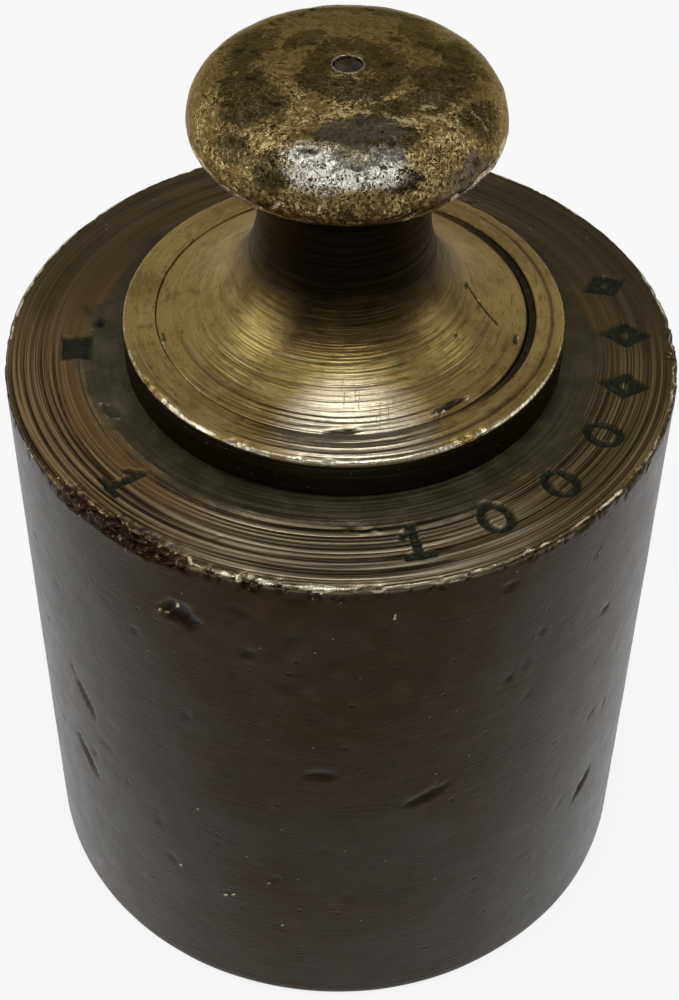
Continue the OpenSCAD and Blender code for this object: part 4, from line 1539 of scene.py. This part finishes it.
class WEIGHT_OT_threads(Operator):
    """Build the ridges of the knob's thread and of the body's thread"""
    bl_idname = "weight.threads"
    bl_label = "Threads"

    def execute(self, context):
        thread = context.scene.weight_thread
        sizes = in_mm(thread)
        sizes["flank"] = thread.flank
        pitch, root, gap = sizes["pitch"], sizes["root"], sizes["gap"]
        core = context.scene.weight_knob.core_r / MM
        crest = core + sizes["height"]
        material = satin_finish(context.scene.weight_knob)
        male = helix("thread_male", sizes, SPIGOT_END + pitch / 2, core - root, crest,
                     thread.turns, material)
        settle(male, "grip", "knob_brass")
        female = helix("thread_female", sizes, SPIGOT_END + pitch, crest + gap + root, core + gap,
                       thread.turns - 0.5, material)
        settle(female, "cylinder", "body_brass")
        return {"FINISHED"}


class WEIGHT_OT_shot(Operator):
    """Build the lead shot in the chamber, ball by ball"""
    bl_idname = "weight.shot"
    bl_label = "Shot"

    def execute(self, context):
        chamber = context.scene.weight_body.chamber_r / MM
        step = SHOT_D + SHOT_GAP
        reach = chamber - SHOT_D / 2 - SHOT_GAP
        rows = math.ceil(reach / step) + 1
        bed = SHOT_LOW + SHOT_D / 2
        places = []
        for layer in range(SHOT_LAYERS):
            z = bed + layer * step * math.sqrt(2 / 3)
            for i in range(-rows, rows + 1):
                for j in range(-rows, rows + 1):
                    x = step * (i + j / 2)
                    y = step * (j * math.sqrt(3) / 2 + (layer % 2) / math.sqrt(3))
                    if math.hypot(x, y) <= reach:
                        places.append((x * MM, y * MM, z * MM))
        cloud = bpy.data.meshes.new("shot_places")
        cloud.from_pydata(places, [], [])
        inputs = {"Ball radius": SHOT_D / 2 * MM, "Unevenness": 0.02, "Seed": 3}
        b = Builder("shot_balls", inputs, lead_finish())
        one = b.node("GeometryNodeMeshIcoSphere",
                     inputs={"Radius": b.take("Ball radius"), "Subdivisions": 3})
        turn = b.node("FunctionNodeRandomValue", {"data_type": "FLOAT_VECTOR"},
                      {"Min": (0, 0, 0), "Max": (6.28, 6.28, 6.28), "Seed": b.take("Seed")})
        size = b.node("FunctionNodeRandomValue", {"data_type": "FLOAT"},
                      {2: 1.0 - b.take("Unevenness"), 3: 1.0, "Seed": b.take("Seed")}, output=1)
        points = b.node("GeometryNodeInstanceOnPoints", inputs={
            "Points": b.take("Geometry"), "Instance": one, "Rotation": turn, "Scale": size})
        made = b.make("shot_balls", points, cloud)
        made.data.shade_smooth()
        settle(made, "cylinder", "lead", "lead_shot")
        return {"FINISHED"}


# Half the floor's width, in metres
FLOOR_HALF = 4.0
# Lamps: name, place, height aimed at and size in metres, the power's setting and its share
LAMPS = (
    ("top_box", (0.0, -0.10, 0.60), 0.06, (0.44, 0.34), "box_power", 1.0),
    ("key", (0.01, -0.16, 0.58), 0.06, (0.09, 0.07), "key_power", 1.0),
    ("left_box", (-0.50, -0.12, 0.26), 0.05, (0.30, 0.30), "side_power", 1.0),
    ("right_box", (0.52, -0.02, 0.26), 0.05, (0.30, 0.30), "side_power", 0.7),
)


class WEIGHT_OT_stage(Operator):
    """Build the floor, the lamps, the room and the camera"""
    bl_idname = "weight.stage"
    bl_label = "Stage"

    def execute(self, context):
        stage = context.scene.weight_stage
        scene = context.scene
        scene.view_settings.view_transform = "Standard"
        corners = ((-1, -1), (1, -1), (1, 1), (-1, 1))
        mesh = bpy.data.meshes.new("floor")
        mesh.from_pydata([(x * FLOOR_HALF, y * FLOOR_HALF, 0) for x, y in corners],
                         [], [(0, 1, 2, 3)])
        mesh.materials.append(floor_finish())
        floor = placed("floor", mesh)
        scene.world = room_light(stage.world_light)
        for name, place, aim, size, power, share in LAMPS:
            self.lamp(name, place, (0, 0, aim), size, getattr(stage, power) * share)
        camera = bpy.data.cameras.new("camera")
        camera.lens = stage.lens
        camera.sensor_width = 36.0
        camera.clip_start = 0.005
        eye = placed("camera", camera)
        tilt = Matrix.Rotation(stage.camera_tilt, 4, "X")
        turn = tilt @ Matrix.Rotation(stage.camera_roll, 4, "Z")
        eye.matrix_world = Matrix.Translation((0, -stage.camera_back, stage.camera_high)) @ turn
        scene.camera = eye
        return {"FINISHED"}

    def lamp(self, name, place, target, size, power):
        """A soft rectangular lamp that points at a target."""
        light = bpy.data.lights.new(name, "AREA")
        light.shape = "RECTANGLE"
        light.size, light.size_y = size
        light.energy = power
        lamp = placed(name, light)
        way = Vector(target) - Vector(place)
        lamp.location = place
        lamp.rotation_euler = way.to_track_quat("-Z", "Y").to_euler()


STEPS = (WEIGHT_OT_body, WEIGHT_OT_collar, WEIGHT_OT_knob, WEIGHT_OT_plug, WEIGHT_OT_threads,
         WEIGHT_OT_shot, WEIGHT_OT_stage)
GROUPS = {"weight_body": WeightBody, "weight_collar": WeightCollar, "weight_knob": WeightKnob,
          "weight_thread": WeightThread, "weight_stage": WeightStage}


class WEIGHT_PT_panel(Panel):
    """Lists the sizes, the colours and the building steps."""
    bl_idname = "WEIGHT_PT_panel"
    bl_label = "Knob Weight"
    bl_space_type = "VIEW_3D"
    bl_region_type = "UI"
    bl_category = "Weight"

    def draw(self, context):
        for step in STEPS:
            self.layout.operator(step.bl_idname)
        for name, group in GROUPS.items():
            box = self.layout.box()
            box.label(text=group.__doc__)
            for key in group.__annotations__:
                box.prop(getattr(context.scene, name), key)


def register():
    for group in GROUPS.values():
        bpy.utils.register_class(group)
    for name, group in GROUPS.items():
        setattr(bpy.types.Scene, name, PointerProperty(type=group))
    for step in (*STEPS, WEIGHT_PT_panel):
        bpy.utils.register_class(step)


def unregister():
    for step in (WEIGHT_PT_panel, *reversed(STEPS)):
        bpy.utils.unregister_class(step)
    for name, group in GROUPS.items():
        delattr(bpy.types.Scene, name)
        bpy.utils.unregister_class(group)


def main():
    """Registers the add-on and builds every piece."""
    register()
    for step in STEPS:
        area, name = step.bl_idname.split(".")
        getattr(getattr(bpy.ops, area), name)()


if __name__ == "__main__":
    main()
